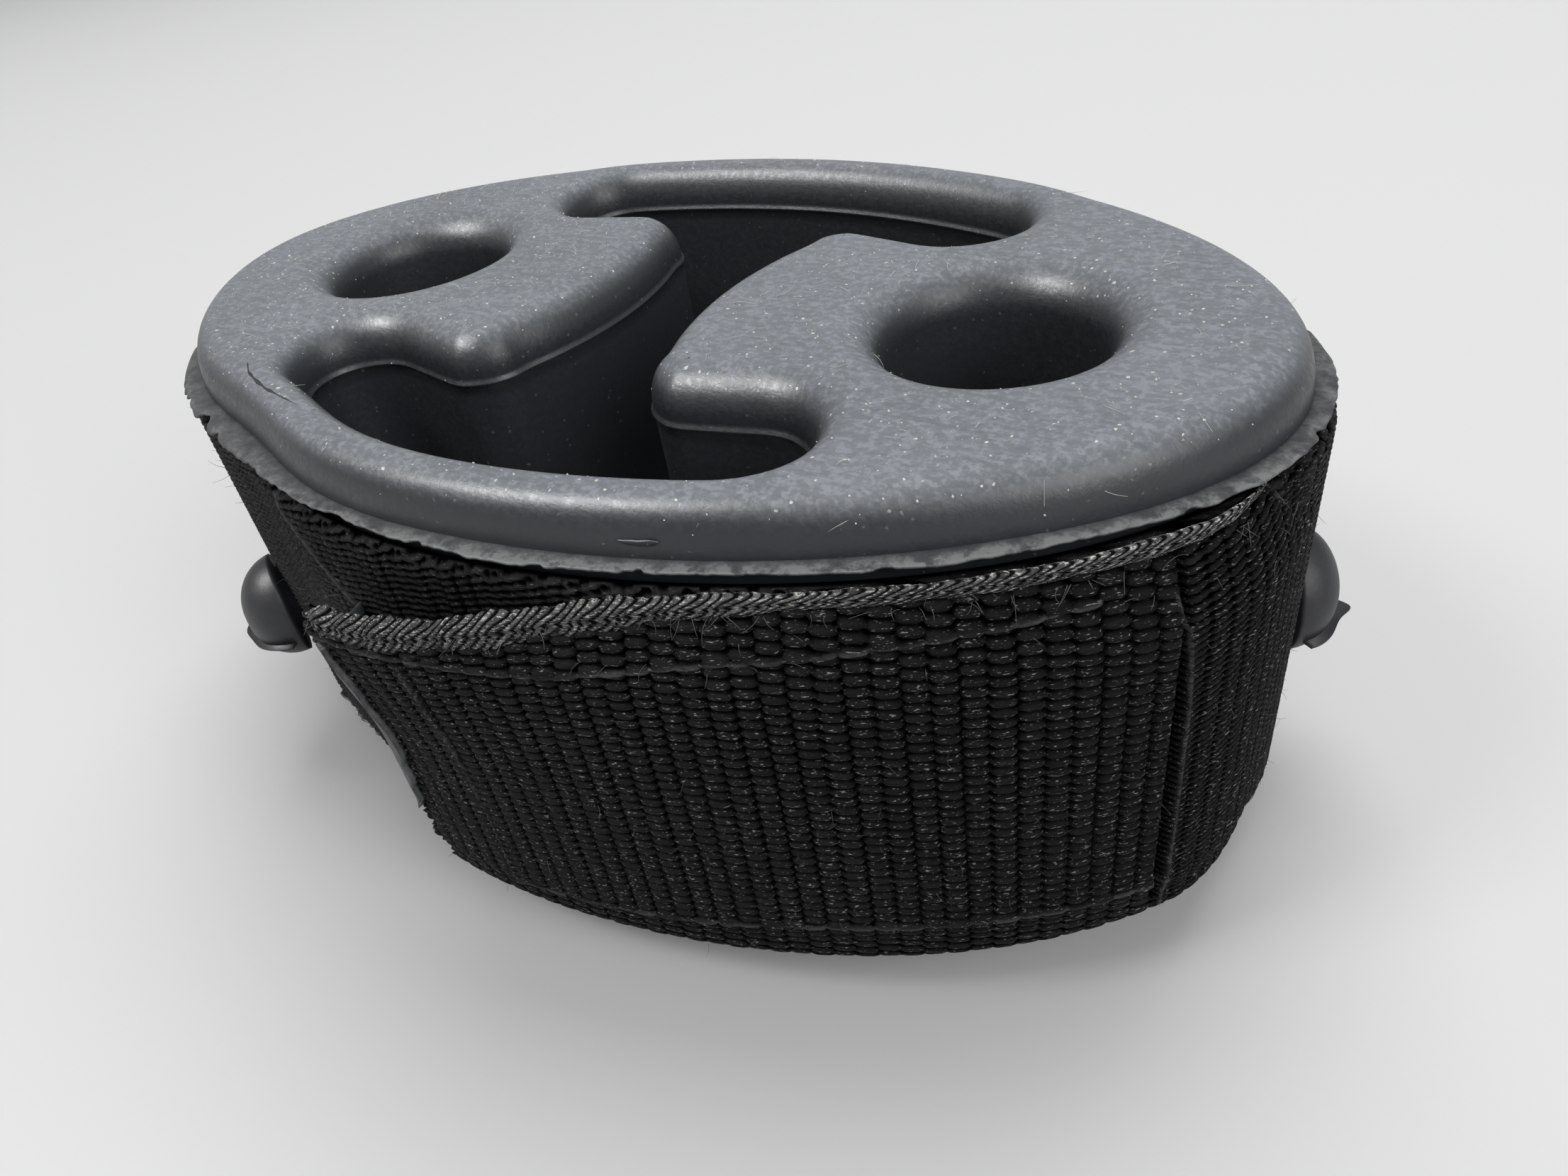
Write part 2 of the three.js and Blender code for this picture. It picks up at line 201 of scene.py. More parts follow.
def add_piece(name, points, faces):
    """A piece from points in millimetres about the middle between the bores."""
    placed = np.array(points, float)
    placed[:, :2] += middle
    mesh = bpy.data.meshes.new(name)
    mesh.from_pydata((placed * millimetre).tolist(), [], faces)
    mesh.validate()
    shell = bmesh.new()
    shell.from_mesh(mesh)
    bmesh.ops.recalc_face_normals(shell, faces=shell.faces)
    shell.to_mesh(mesh)
    shell.free()
    mesh.shade_smooth()
    piece = bpy.data.objects.new(name, mesh)
    scene.collection.objects.link(piece)
    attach(piece, "root")
    return piece


def ring_faces(rings, count, start=0, closed=False, wrapped=True):
    """Four-sided faces between rings of equal length that are stored one after another."""
    faces = []
    for r in range(rings if closed else rings - 1):
        here = start + r * count
        above = start + ((r + 1) % rings) * count
        for i in range(count if wrapped else count - 1):
            j = (i + 1) % count
            faces.append((here + i, here + j, above + j, above + i))
    return faces


def slot_end():
    """Radius and centre of a slot's round end, which just meets the thin wall's line."""
    small, large = 0.0, slot_half
    while large - small > 1e-6:
        radius = (small + large) / 2
        centre = np.array([slot_half - radius, slot_edge + radius])
        if nearest_on_oval(centre)[1] - wall > radius:
            small = radius
        else:
            large = radius
    centre = np.array([slot_half - small, slot_edge + small])
    return small, centre, nearest_on_oval(centre)[0]


def smooth_closed(knots, steps):
    """A smooth closed curve through its knots."""
    before, after, beyond = np.roll(knots, 1, 0), np.roll(knots, -1, 0), np.roll(knots, -2, 0)
    lead = after - before
    bend = 2 * before - 5 * knots + 4 * after - beyond
    sway = 3 * knots - before - 3 * after + beyond
    shares = np.linspace(0, 1, steps, endpoint=False)
    parts = [0.5 * (2 * knots + lead * t + bend * t**2 + sway * t**3) for t in shares]
    return np.stack(parts, 1).reshape(-1, 2)


def even_spacing(curve, count):
    """A closed curve redrawn with evenly spaced points."""
    closed = np.vstack([curve, curve[:1]])
    run = lengths_along(closed)
    wanted = np.linspace(0, run[-1], count, endpoint=False)
    return np.stack([np.interp(wanted, run, closed[:, k]) for k in (0, 1)], -1)


def nose(y):
    """Half the gap between the lobes' curved noses."""
    return lobe_gap / 2 + y**2 / (2 * nose_radius)


def void_outline():
    """The void from above: one quarter, mirrored twice, then drawn as a smooth closed curve."""
    radius, centre, meets = slot_end()
    edge_y = slot_edge + lobe_rise
    corner_y = edge_y - lobe_corner
    corner_x = nose(corner_y) + lobe_corner
    quarter = [(nose(k * corner_y), k * corner_y) for k in (0, 0.35, 0.7)]
    for turn in np.radians([180, 157, 135, 112, 90]):
        x, y = corner_x + lobe_corner * math.cos(turn), corner_y + lobe_corner * math.sin(turn)
        quarter.append((x, y))
    quarter.append(((corner_x + centre[0]) / 2, (edge_y + slot_edge) / 2))
    sweep = math.atan2(*dense_normals[meets][::-1]) + math.pi / 2
    for k in range(7):
        turn = -math.pi / 2 + sweep * k / 6
        quarter.append((centre[0] + radius * math.cos(turn), centre[1] + radius * math.sin(turn)))
    for k in (0.25, 0.5, 0.75, 1):
        point, normal = oval(dense_angles[meets] * (1 - k) + math.pi / 2 * k)
        quarter.append(tuple(point - wall * normal))
    q = np.array(quarter)
    mirrored = [q, (q * [-1, 1])[::-1][1:], (q * [-1, -1])[1:], (q * [1, -1])[::-1][1:-1]]
    return even_spacing(smooth_closed(np.concatenate(mirrored), 12), void_count)


def outward(outline):
    """Directions square to a hole's outline, away from the hole."""
    tangent = np.roll(outline, -1, 0) - np.roll(outline, 1, 0)
    tangent /= np.linalg.norm(tangent, axis=1, keepdims=True)
    return np.stack([tangent[:, 1], -tangent[:, 0]], -1)


def bore_outline(side):
    """The left bore's circle, or the right one's."""
    turn = np.linspace(0, 2 * math.pi, bore_count, endpoint=False)
    ring = np.stack([np.cos(turn), np.sin(turn)], -1) * bore_radius
    return ring + [side * bore_spacing / 2, 0]


body_points, body_normals = station(np.arange(body_count) * perimeter / body_count)
hole_outlines = [bore_outline(-1), bore_outline(1), void_outline()]
hole_normals = [outward(outline) for outline in hole_outlines]
edge_outlines = [body_points, *hole_outlines]


def round_over(own, wanted):
    """How far each edge's rounding runs in: it leaves rubber for the next edge's own."""
    points = edge_outlines[own]
    others = np.vstack([o for k, o in enumerate(edge_outlines) if k != own])
    room = np.linalg.norm(points[:, None] - others[None], axis=2).min(1)
    reach = np.minimum(wanted, lip_share * room)
    kernel = np.hanning(2 * lip_smoothing + 1)
    kernel /= kernel.sum()
    padded = np.concatenate([reach[-lip_smoothing:], reach, reach[:lip_smoothing]])
    return np.convolve(padded, kernel, "valid")


def at_height(flat, height):
    """An outline's points at one height, with the wall's sag."""
    return take_set(np.column_stack([flat, np.full(len(flat), height)]))


quarter_turns = np.linspace(math.pi / 2, 0, 13)
side_reach = round_over(0, rim_reach)


def rim_ring(turn, level, direction):
    """One ring of the rounded rim, a little squarer than a circle's arc."""
    run_in = side_reach * (1 - max(math.cos(turn), 0.0) ** rim_power)
    rim_level = level + direction * rim_height * math.sin(turn) ** rim_power
    return at_height(body_points - body_normals * run_in[:, None], rim_level)


def lip_ring(k, reach, turn, top, direction):
    """One ring of the rounded lip of a bore or of the void."""
    run_out = (reach * (1 - math.cos(turn)))[:, None]
    lip_level = top - direction * lip_depth * (1 - math.sin(turn))
    return at_height(hole_outlines[k] + hole_normals[k] * run_out, lip_level)


side = [rim_ring(t, upper_parting, 1) for t in quarter_turns]
side += [at_height(body_points, z) for z in np.linspace(upper_parting, lower_parting, 6)[1:-1]]
side += [rim_ring(t, lower_parting, -1) for t in quarter_turns[::-1]]
wall_levels = np.linspace(upper_parting - 1, lower_parting + 1, 8)
wall_rings = []
for k, outline in enumerate(hole_outlines):
    is_void = k == 2
    reach = round_over(k + 1, void_lip if is_void else bore_lip)
    upper_lip = [lip_ring(k, reach, t, body_height, 1) for t in quarter_turns]
    lower_lip = [lip_ring(k, reach, t, 0, -1) for t in quarter_turns[::-1]]
    between = []
    if is_void:  # the fine raised line where the mould's halves met
        for offset, height in (
            (0, parting_half),
            (-parting_rise, parting_crest),
            (-parting_rise, -parting_crest),
            (0, -parting_half),
        ):
            between.append(at_height(outline + hole_normals[k] * offset, upper_parting + height))
    between += [at_height(outline, z) for z in wall_levels]
    wall_rings.append([*upper_lip, *between, *lower_lip])

body_rings = np.concatenate(side)
moulding_points = [body_rings]
moulding_faces = ring_faces(len(side), body_count)
top_loops = [np.arange(body_count)]
bottom_loops = [np.arange(body_count) + (len(side) - 1) * body_count]
start = len(body_rings)
for outline, rings in zip(hole_outlines, wall_rings):
    count = len(outline)
    moulding_points.append(np.concatenate(rings))
    moulding_faces += [f[::-1] for f in ring_faces(len(rings), count, start)]
    top_loops.append(np.arange(count) + start)
    bottom_loops.append(np.arange(count) + start + (len(rings) - 1) * count)
    start += len(rings) * count
moulding_points = np.concatenate(moulding_points)


def face_between(points, loops):
    """Triangles of a flat face between its outlines, with points of its own inside."""
    flat = [points[loop][:, :2] for loop in loops]
    outer = flat[0]
    xs = np.arange(outer[:, 0].min(), outer[:, 0].max(), face_grid)
    ys = np.arange(outer[:, 1].min(), outer[:, 1].max(), face_grid)
    spread = np.stack(np.meshgrid(xs, ys), -1).reshape(-1, 2)
    everything = np.vstack(flat)
    near = np.array([np.linalg.norm(everything - p, axis=1).min() for p in spread])
    inside = spread[near > 0.7 * face_grid]
    sites = [Vector(p) for p in np.vstack([*flat, inside])]
    edges, first = [], 0
    for loop in flat:
        n = len(loop)
        edges += [(first + i, first + (i + 1) % n) for i in range(n)]
        first += n
    places, _, cells, sources, _, _ = delaunay_2d_cdt(sites, edges, [], 0, 1e-6)
    return places, cells, sources, np.concatenate(loops), first


def within(points, outline):
    """Which points lie inside a closed outline."""
    x, y = points[:, 0][:, None], points[:, 1][:, None]
    a, b = outline, np.roll(outline, -1, 0)
    crosses = (a[:, 1] > y) != (b[:, 1] > y)
    with np.errstate(divide="ignore", invalid="ignore"):
        meets = (b[:, 0] - a[:, 0]) * (y - a[:, 1]) / (b[:, 1] - a[:, 1]) + a[:, 0]
    return ((x < meets) & crosses).sum(1) % 2 == 1


def cover(points, loops, height, up):
    """The moulding's points with those of its upper or lower face, and the face's triangles."""
    places, cells, sources, named, first = face_between(points, loops)
    flat = np.array([tuple(p) for p in places])
    centres = np.array([flat[list(c)].mean(0) for c in cells])
    keep = within(centres, points[loops[0]][:, :2])
    for loop in loops[1:]:
        keep &= ~within(centres, points[loop][:, :2])
    index, added = {}, []
    for i, source in enumerate(sources):
        known = [s for s in source if s < first]
        if known:
            index[i] = int(named[known[0]])
    for i in range(len(flat)):
        if i not in index:
            index[i] = len(points) + len(added)
            added.append((flat[i][0], flat[i][1], height))
    triangles = []
    for cell, kept in zip(cells, keep):
        if kept:
            corners = tuple(index[i] for i in cell)
            triangles.append(corners if up else corners[::-1])
    return np.vstack([points, added]), triangles


for loops, height, up in ((top_loops, body_height, True), (bottom_loops, 0.0, False)):
    moulding_points, triangles = cover(moulding_points, loops, height, up)
    moulding_faces += triangles
moulding = add_piece("rubber_moulding", moulding_points, moulding_faces)
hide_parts("rubber_body")


def own_place(tree):
    """Where a point lies on its piece."""
    return tree.nodes.new("ShaderNodeTexCoord").outputs["Object"]


def noise(tree, vector, scale, detail=3.0, roughness=0.6):
    """A cloudy pattern of one grain size."""
    node = tree.nodes.new("ShaderNodeTexNoise")
    node.inputs["Scale"].default_value = scale
    node.inputs["Detail"].default_value = detail
    node.inputs["Roughness"].default_value = roughness
    tree.links.new(vector, node.inputs["Vector"])
    return node.outputs["Fac"]


def ramp(tree, value, low, high, out_low=0.0, out_high=1.0):
    """A value that goes softly from one number to another between two limits."""
    node = tree.nodes.new("ShaderNodeMapRange")
    node.interpolation_type = "SMOOTHSTEP"
    ends = {"From Min": low, "From Max": high, "To Min": out_low, "To Max": out_high}
    for name, number in ends.items():
        node.inputs[name].default_value = number
    tree.links.new(value, node.inputs["Value"])
    return node.outputs["Result"]


def math_of(tree, operation, first, *others):
    """Values taken together one after another, by one sum."""
    for other in others:
        node = tree.nodes.new("ShaderNodeMath")
        node.operation = operation
        tree.links.new(first, node.inputs[0])
        tree.links.new(other, node.inputs[1])
        first = node.outputs["Value"]
    return first


def mix_colours(tree, share, first, second):
    """A colour that goes from the first to the second as the share rises."""
    node = tree.nodes.new("ShaderNodeMix")
    node.data_type = "RGBA"
    tree.links.new(share, node.inputs["Factor"])
    for socket, value in ((node.inputs["A"], first), (node.inputs["B"], second)):
        if isinstance(value, tuple):
            socket.default_value = value
        else:
            tree.links.new(value, socket)
    return node.outputs["Result"]


def stretched(tree, source, scale):
    """The place on a piece, stretched so that a grain follows one direction."""
    node = tree.nodes.new("ShaderNodeVectorMath")
    node.operation = "MULTIPLY"
    node.inputs[1].default_value = scale
    tree.links.new(source, node.inputs[0])
    return node.outputs["Vector"]


def swayed(tree, place, scale, amount):
    """The place on a piece, shifted a little by chance, so that round grains come ragged."""
    sway = tree.nodes.new("ShaderNodeTexNoise")
    sway.inputs["Scale"].default_value = scale
    tree.links.new(place, sway.inputs["Vector"])
    node = tree.nodes.new("ShaderNodeVectorMath")
    node.operation = "MULTIPLY_ADD"
    tree.links.new(sway.outputs["Color"], node.inputs[0])
    node.inputs[1].default_value = (amount, amount, amount)
    tree.links.new(place, node.inputs[2])
    return node.outputs["Vector"]


def specks(tree, vector, scale, share, size):
    """Scattered grains: one in so many cells, each smaller than its cell."""
    cells = tree.nodes.new("ShaderNodeTexVoronoi")
    cells.inputs["Scale"].default_value = scale
    tree.links.new(vector, cells.inputs["Vector"])
    channels = tree.nodes.new("ShaderNodeSeparateColor")
    tree.links.new(cells.outputs["Color"], channels.inputs["Color"])
    chosen = ramp(tree, channels.outputs["Red"], 1 - share, 1 - share + 0.01)
    small = ramp(tree, cells.outputs["Distance"], size, size * 0.6)
    return math_of(tree, "MULTIPLY", chosen, small)


def add_bump(tree, shader, height, strength, distance):
    """Fine relief that only the light shows."""
    bump = tree.nodes.new("ShaderNodeBump")
    bump.inputs["Strength"].default_value = strength
    bump.inputs["Distance"].default_value = distance
    tree.links.new(height, bump.inputs["Height"])
    tree.links.new(bump.outputs["Normal"], shader.inputs["Normal"])


def dusty_rubber_material():
    """Black rubber with a bloom of grey dust, pale grains and a satin shine; painted shade on slopes.
    """
    bare, bloom = (0.021, 0.024, 0.028, 1), (0.17, 0.18, 0.198, 1)
    pale_grain = (0.46, 0.46, 0.42, 1)
    material, tree, shader = new_material("dusty moulded rubber")
    place = own_place(tree)
    facing = tree.nodes.new("ShaderNodeSeparateXYZ")
    tree.links.new(tree.nodes.new("ShaderNodeNewGeometry").outputs["Normal"], facing.inputs[0])
    # Dust lies on what faces up; its fading on slopes and walls is also painted shade there.
    upward_dust_and_shade = ramp(tree, facing.outputs["Z"], 0.42, 1.0)
    cloud = noise(tree, place, 90, 5)
    powder = noise(tree, place, 2600, 2, 0.75)
    streak = noise(tree, stretched(tree, place, (420, 2600, 1200)), 1, 3, 0.7)
    patchy = ramp(tree, cloud, 0.25, 0.75, 0.8, 1.0)
    powdery = ramp(tree, powder, 0.42, 0.72, 0.74, 1.26)
    brushed = ramp(tree, streak, 0.35, 0.7, 0.87, 1.13)
    dusty = math_of(tree, "MULTIPLY", patchy, upward_dust_and_shade, powdery, brushed)
    colour = mix_colours(tree, dusty, bare, bloom)
    ragged_place = swayed(tree, place, 5200, 0.00022)
    grains = specks(tree, ragged_place, 2300, 0.17, 0.21)
    crumbs = specks(tree, ragged_place, 900, 0.07, 0.13)
    spotted = math_of(tree, "MAXIMUM", grains, crumbs)
    spotted = math_of(tree, "MULTIPLY", spotted, ramp(tree, upward_dust_and_shade, 0.0, 0.6, 0.12, 1.0))
    colour = mix_colours(tree, spotted, colour, pale_grain)
    tree.links.new(colour, shader.inputs["Base Color"])
    tree.links.new(ramp(tree, powder, 0.3, 0.7, 0.36, 0.48), shader.inputs["Roughness"])
    shader.inputs["Specular IOR Level"].default_value = 0.5
    relief = math_of(tree, "ADD", powder, streak, spotted)
    add_bump(tree, shader, relief, strength=0.35, distance=0.00005)
    return material


dusty_rubber = dusty_rubber_material()
moulding.data.materials.append(dusty_rubber)

# A knock has raised a small flake of the same rubber on the front of the rim. It is a thin
# lens that lies along the rim, with its upper edge a little off it.
flake_place = (14.25, -21.7, 29.85)
flake_half = (1.0, 0.22, 0.12)  # along the rim, up it and out of it
flake_bow, flake_lift = 0.06, 0.12
flake_rings, flake_turns = 12, 28
flake_steepest = 1.45
rubber_surface = BVHTree.FromPolygons([Vector(p) for p in moulding_points], moulding_faces)
flake_seat, flake_normal = rubber_surface.find_nearest(Vector(flake_place))[:2]
flake_normal = np.array(flake_normal) * np.sign(np.dot(flake_normal, (0.3, -1, 0)))
flake_along = np.cross(flake_normal, (0, 0, 1))
flake_along /= np.linalg.norm(flake_along)
flake_up = np.cross(flake_along, flake_normal)
flake_points = []
for steep in np.linspace(-flake_steepest, flake_steepest, flake_rings):
    for turn in np.linspace(0, 2 * math.pi, flake_turns, endpoint=False):
        wobble = 1 + 0.12 * math.sin(3 * turn + 1) + 0.06 * math.sin(7 * turn)
        a = math.cos(steep) * math.cos(turn) * wobble
        b = math.cos(steep) * math.sin(turn) * wobble
        flake_points.append(
            np.array(flake_seat)
            + flake_along * a * flake_half[0]
            + flake_up * (b * flake_half[1] + flake_bow * a * a)
            + flake_normal * (math.sin(steep) * flake_half[2] + flake_lift * b)
        )
flake_last = (flake_rings - 1) * flake_turns
flake_ends = [tuple(range(flake_turns))[::-1], tuple(range(flake_last, flake_last + flake_turns))]
flake_faces = ring_faces(flake_rings, flake_turns) + flake_ends
flake = add_piece("rim_flake", flake_points, flake_faces)
flake.data.materials.append(dusty_rubber)

# Where the thin wall has sagged, its top is folded into one fine crease. It is drawn in darker
# rubber, so it shows as a thin dark line.
crease_run = np.array(
    [(-18.9, -17.0), (-17.6, -17.9), (-16.2, -18.5), (-14.4, -19.1), (-12.6, -19.5), (-10.6, -19.9)]
)
crease_steps, crease_half, crease_crest, crease_root = 40, 0.085, 0.012, -0.05
crease_way = (0.94, -0.34, 0.0)
crease_rings = []
for step in np.linspace(0, 1, crease_steps):
    at = [np.interp(step, np.linspace(0, 1, len(crease_run)), crease_run[:, k]) for k in (0, 1)]
    seat, seat_normal = rubber_surface.find_nearest(Vector((*at, body_height)))[:2]
    half = crease_half * math.sin(math.pi * (0.08 + 0.84 * step)) * (1 + 0.4 * math.sin(31 * step))
    side_way = np.cross(np.array(seat_normal), crease_way)
    for across, lift in ((-1, 0.0), (0, crease_crest), (1, 0.0), (0, crease_root)):
        crease_rings.append(np.array(seat) + side_way * across * half + np.array((0, 0, 1)) * lift)
crease_last = 4 * (crease_steps - 1)
crease_ends = [(3, 2, 1, 0), tuple(range(crease_last, crease_last + 4))]
crease = add_piece("wall_crease", crease_rings, ring_faces(crease_steps, 4) + crease_ends)


def clean_rubber_material():
    """Rubber that was rubbed clean: darker and smoother than the block."""
    hollow, crown = (0.008, 0.0085, 0.01, 1), (0.018, 0.0195, 0.022, 1)
    material, tree, shader = new_material("clean rubber", roughness=0.48)
    place = own_place(tree)
    cloud = noise(tree, place, 400, 4)
    colour = mix_colours(tree, ramp(tree, cloud, 0.3, 0.75), hollow, crown)
    tree.links.new(colour, shader.inputs["Base Color"])
    add_bump(tree, shader, noise(tree, place, 1500, 3), strength=0.3, distance=0.0001)
    return material


clean_rubber = clean_rubber_material()
crease.data.materials.append(clean_rubber)

# Where the mould's halves met, a thin film of rubber ran out over the webbing's edges. It
# was torn off by hand, so its edge is ragged and pale. It hangs on widest at the left, and
# where the band is only one turn thick it folds down over the band's edge.
film_random = np.random.default_rng(11)
film_count, film_steps, film_bites = 1500, 10, 44
film_root, film_edge = 0.3, 0.12  # thickness where it leaves the block, and at its torn edge
film_sunk, film_least, film_clear = 0.25, 0.15, 0.02
fold_from, fold_to, film_slope = 0.75, 1.8, 0.06
swings = ((38, 0.12), (150, 0.13), (520, 0.07))  # so many round the oval, and how far
bite_width, bite_depth = (1.5, 7), (0.2, 0.8)
# Each list gives a value at angles round the oval.
upper_reach = [(0, 1.0), (150, 1.1), (172, 1.3), (190, 1.6), (215, 1.9)]
upper_reach += [(235, 1.9), (252, 1.4), (268, 0.95), (330, 0.85), (360, 1.0)]
lower_reach = [(0, 1.0), (120, 1.3), (240, 0.9), (360, 1.0)]
film_ragged = [(0, 0.4), (170, 0.5), (195, 1.0), (250, 1.0), (270, 0.35), (360, 0.4)]
# Painted light: this table draws the film paler at the front and darker at the left than its torn
# edge makes it.
film_painted_light = [(0, 1.2), (190, 0.7), (250, 0.9), (275, 2.6), (335, 2.6), (360, 1.2)]
film_folded = [(0, 1.1), (8, 1.1), (258, 1.1), (285, 0.1), (345, 0.1), (360, 1.1)]
film_raised = [(0, 0.0), (235, 0.0), (275, 0.35), (320, 0.35), (350, 0.0), (360, 0.0)]


def smooth_rise(value, low, high):
    """0 up to one limit, 1 from the other on, and soft between."""
    t = np.clip((value - low) / (high - low), 0, 1)
    return t * t * (3 - 2 * t)


def wander(random, count, steps, amount):
    """A closed run of soft random swings, so many of them round the oval."""
    knots = random.normal(0, amount, steps)
    closed = np.append(knots, knots[0])
    return np.interp(np.arange(count) * steps / count, np.arange(steps + 1), closed)


def store(piece, name, values):
    """Keeps one number a point on a piece, for its material."""
    layer = piece.data.attributes.new(name, "FLOAT", "POINT")
    layer.data.foreach_set("value", np.ascontiguousarray(values, dtype=np.float32).ravel())


def torn_film(name, level, direction, mean_reach):
    """One ring of film, up from its parting line or down from it."""
    points, normals = station(np.arange(film_count) * perimeter / film_count)
    angle = np.degrees(np.arctan2(points[:, 1] / body_width, points[:, 0] / body_length)) % 360
    mean, ragged, pale, folded, raised = [
        np.interp(angle, *zip(*table))
        for table in (mean_reach, film_ragged, film_painted_light, film_folded, film_raised)
    ]
    broad, coarse, fine = [wander(film_random, film_count, *swing) for swing in swings]
    reach = mean + broad * (0.6 + 1.4 * ragged)
    reach += ragged * (coarse + fine)
    for _ in range(film_bites):  # torn out of the edge
        centre, width = film_random.uniform(0, film_count), film_random.uniform(*bite_width)
        depth = film_random.uniform(*bite_depth) * ragged[int(centre)]
        half_round = film_count / 2
        gap = np.abs((np.arange(film_count) - centre + half_round) % film_count - half_round)
        reach -= depth * np.exp(-((gap / width) ** 4))
    reach = np.clip(reach, film_least, None)
    shares = np.linspace(0, 1, film_steps)
    out, down = np.full(film_count, -film_sunk), np.zeros(film_count)
    upper_side, lower_side = [], []
    for before, share in zip(np.append(0, shares), shares):
        run = (share + before) / 2 * reach
        tilt = folded * smooth_rise(run, fold_from, fold_to) + film_slope
        out = out + (share - before) * reach * np.cos(tilt)
        down = down + (share - before) * reach * np.sin(tilt)
        thick = film_root + (film_edge - film_root) * share
        for below, rings in ((0.0, upper_side), (thick, lower_side)):
            flat = points + normals * (out - below * np.sin(tilt))[:, None]
            height = level + direction * (film_clear + raised - down - below * np.cos(tilt))
            rings.append(take_set(np.column_stack([flat, height])))
        if share == 0:
            out = np.zeros(film_count)
    rings = upper_side + lower_side[::-1]
    faces = ring_faces(len(rings), film_count, closed=True)
    piece = add_piece(name, np.concatenate(rings), faces)
    # The paleness rises towards the torn edge, and round the oval it holds painted light.
    store(piece, "torn_edge_and_painted_light", np.append(shares, shares[::-1])[:, None] * pale)
    return piece


def stored(tree, name, output="Fac"):
    """What a piece keeps for its material."""
    node = tree.nodes.new("ShaderNodeAttribute")
    node.attribute_name = name
    return node.outputs[output]


def torn_rubber_material():
    """Bare torn rubber: greyer than the moulding, with pale broken edges and, on the films, painted
    light.
    """
    whole, broken = (0.028, 0.03, 0.032, 1), (0.122, 0.125, 0.124, 1)
    material, tree, shader = new_material("torn rubber film", roughness=0.6)
    place = own_place(tree)
    rough = noise(tree, place, 900, 4, 0.7)
    crumbly = noise(tree, place, 3200, 2, 0.7)
    # On the films the stored share is the torn edge's paleness with painted light on it.
    share = math_of(
        tree,
        "MULTIPLY",
        ramp(tree, rough, 0.35, 0.68),
        ramp(tree, crumbly, 0.3, 0.65, 0.5, 1.15),
        ramp(tree, stored(tree, "torn_edge_and_painted_light"), 0.0, 2.6, 0.45, 2.4),
    )
    tree.links.new(mix_colours(tree, share, whole, broken), shader.inputs["Base Color"])
    add_bump(tree, shader, rough, strength=0.7, distance=0.0001)
    return material


torn_rubber = torn_rubber_material()
for film in (
    torn_film("torn_film_upper", upper_parting, 1, upper_reach),
    torn_film("torn_film_lower", lower_parting, -1, lower_reach),
):
    film.data.materials.append(torn_rubber)

# While the rubber was shot, some of it was pressed out through two holes punched in the
# webbing and set as domed heads, which pin the band. A thin pointed film was left on each.
hole_diameter = 6.0
head_height, head_width, head_stand = 8.2, 7.4, 3.2
plug_middle = 12.1
seat_gap, first_thickness = 0.3, 0.95
right_plug, left_plug = 18.5, 227  # degrees round the oval
plug_seat = seat_gap + first_thickness + seat_gap
head_turns, dome_rings, plug_film_steps = 64, 18, 60
dome_power, dome_flat = 0.9, 0.03
tip_at, tip_width, tip_droop = 0.15, 0.22, 0.12
plug_film_reach, plug_film_wave = 0.25, 0.125
plug_film_root, plug_film_edge = 0.16, 0.05  # half its thickness
plug_film_level = -head_height / 5


def place_plug(points, degrees):
    """Points with +Y out of the webbing, moved to a plug's place on the oval."""
    at, normal = oval(np.radians(degrees))
    at = take_set(np.append(at, 0.0)[None])[0]
    along = np.array([normal[1], -normal[0]])
    flat = at[:2] + points[:, :1] * along + points[:, 1:2] * normal
    return np.column_stack([flat, points[:, 2] + plug_middle])


def plug(name, degrees, lean, lobed):
    """A neck through the webbing and a domed head, not quite round."""
    around = np.linspace(0, 2 * math.pi, head_turns, endpoint=False)
    neck = hole_diameter / 2 - seat_gap
    profile = [(0.0, -wall / 2), (neck, -wall / 2), (neck, plug_seat - 0.05)]
    profile += [
        (head_width / 2 * math.cos(t) ** dome_power, plug_seat + head_stand * math.sin(t))
        for t in np.linspace(0, math.pi / 2 - dome_flat, dome_rings)
    ]
    profile.append((0.0, plug_seat + head_stand))
    swell = 1 + lobed * np.cos(2 * around + 0.7) + 0.4 * lobed * np.cos(3 * around)
    rings = []
    for radius, out in profile:
        x = radius * np.cos(around) * swell
        z = radius * np.sin(around) * swell * head_height / head_width
        z = z + lean * max(out - plug_seat, 0)
        rings.append(np.column_stack([x, np.full(head_turns, out), z]))
    faces = [f[::-1] for f in ring_faces(len(rings), head_turns)]
    return add_piece(name, place_plug(np.concatenate(rings), degrees), faces)


def plug_film(name, degrees, tip):
    """The torn film round a head, drawn out to a point."""
    n = plug_film_steps
    share = np.linspace(-1, 1, n)
    edge = (plug_seat + head_stand * np.sqrt(1 - (0.98 * share) ** 2)) + plug_film_reach
    edge += tip * np.exp(-(((share - tip_at) / tip_width) ** 2))
    droop = tip_droop * tip * np.exp(-(((share - tip_at) / 0.2) ** 2))
    inner_x, outer_x = share * head_width * 0.3, share * (head_width / 2 + plug_film_reach)
    inner = np.column_stack([inner_x, np.full(n, plug_seat), np.full(n, plug_film_level)])
    wavy = plug_film_level + plug_film_wave * np.sin(share * 5) - droop
    outer = np.column_stack([outer_x, edge, wavy])
    root, torn = [0, 0, plug_film_root], [0, 0, plug_film_edge]
    rings = [inner + root, outer + torn, outer - torn, inner - root]
    faces = ring_faces(4, n, closed=True, wrapped=False)
    faces += [(0, n, 2 * n, 3 * n), (4 * n - 1, 3 * n - 1, 2 * n - 1, n - 1)]
    return add_piece(name, place_plug(np.concatenate(rings), degrees), faces)


for piece in (
    plug("plug_right", right_plug, lean=0.05, lobed=0.03),
    plug("plug_left", left_plug, lean=-0.12, lobed=0.06),
    plug_film("plug_film_right", right_plug, tip=0.9),
    plug_film("plug_film_left", left_plug, tip=0.25),
):
    piece.data.materials.append(clean_rubber)

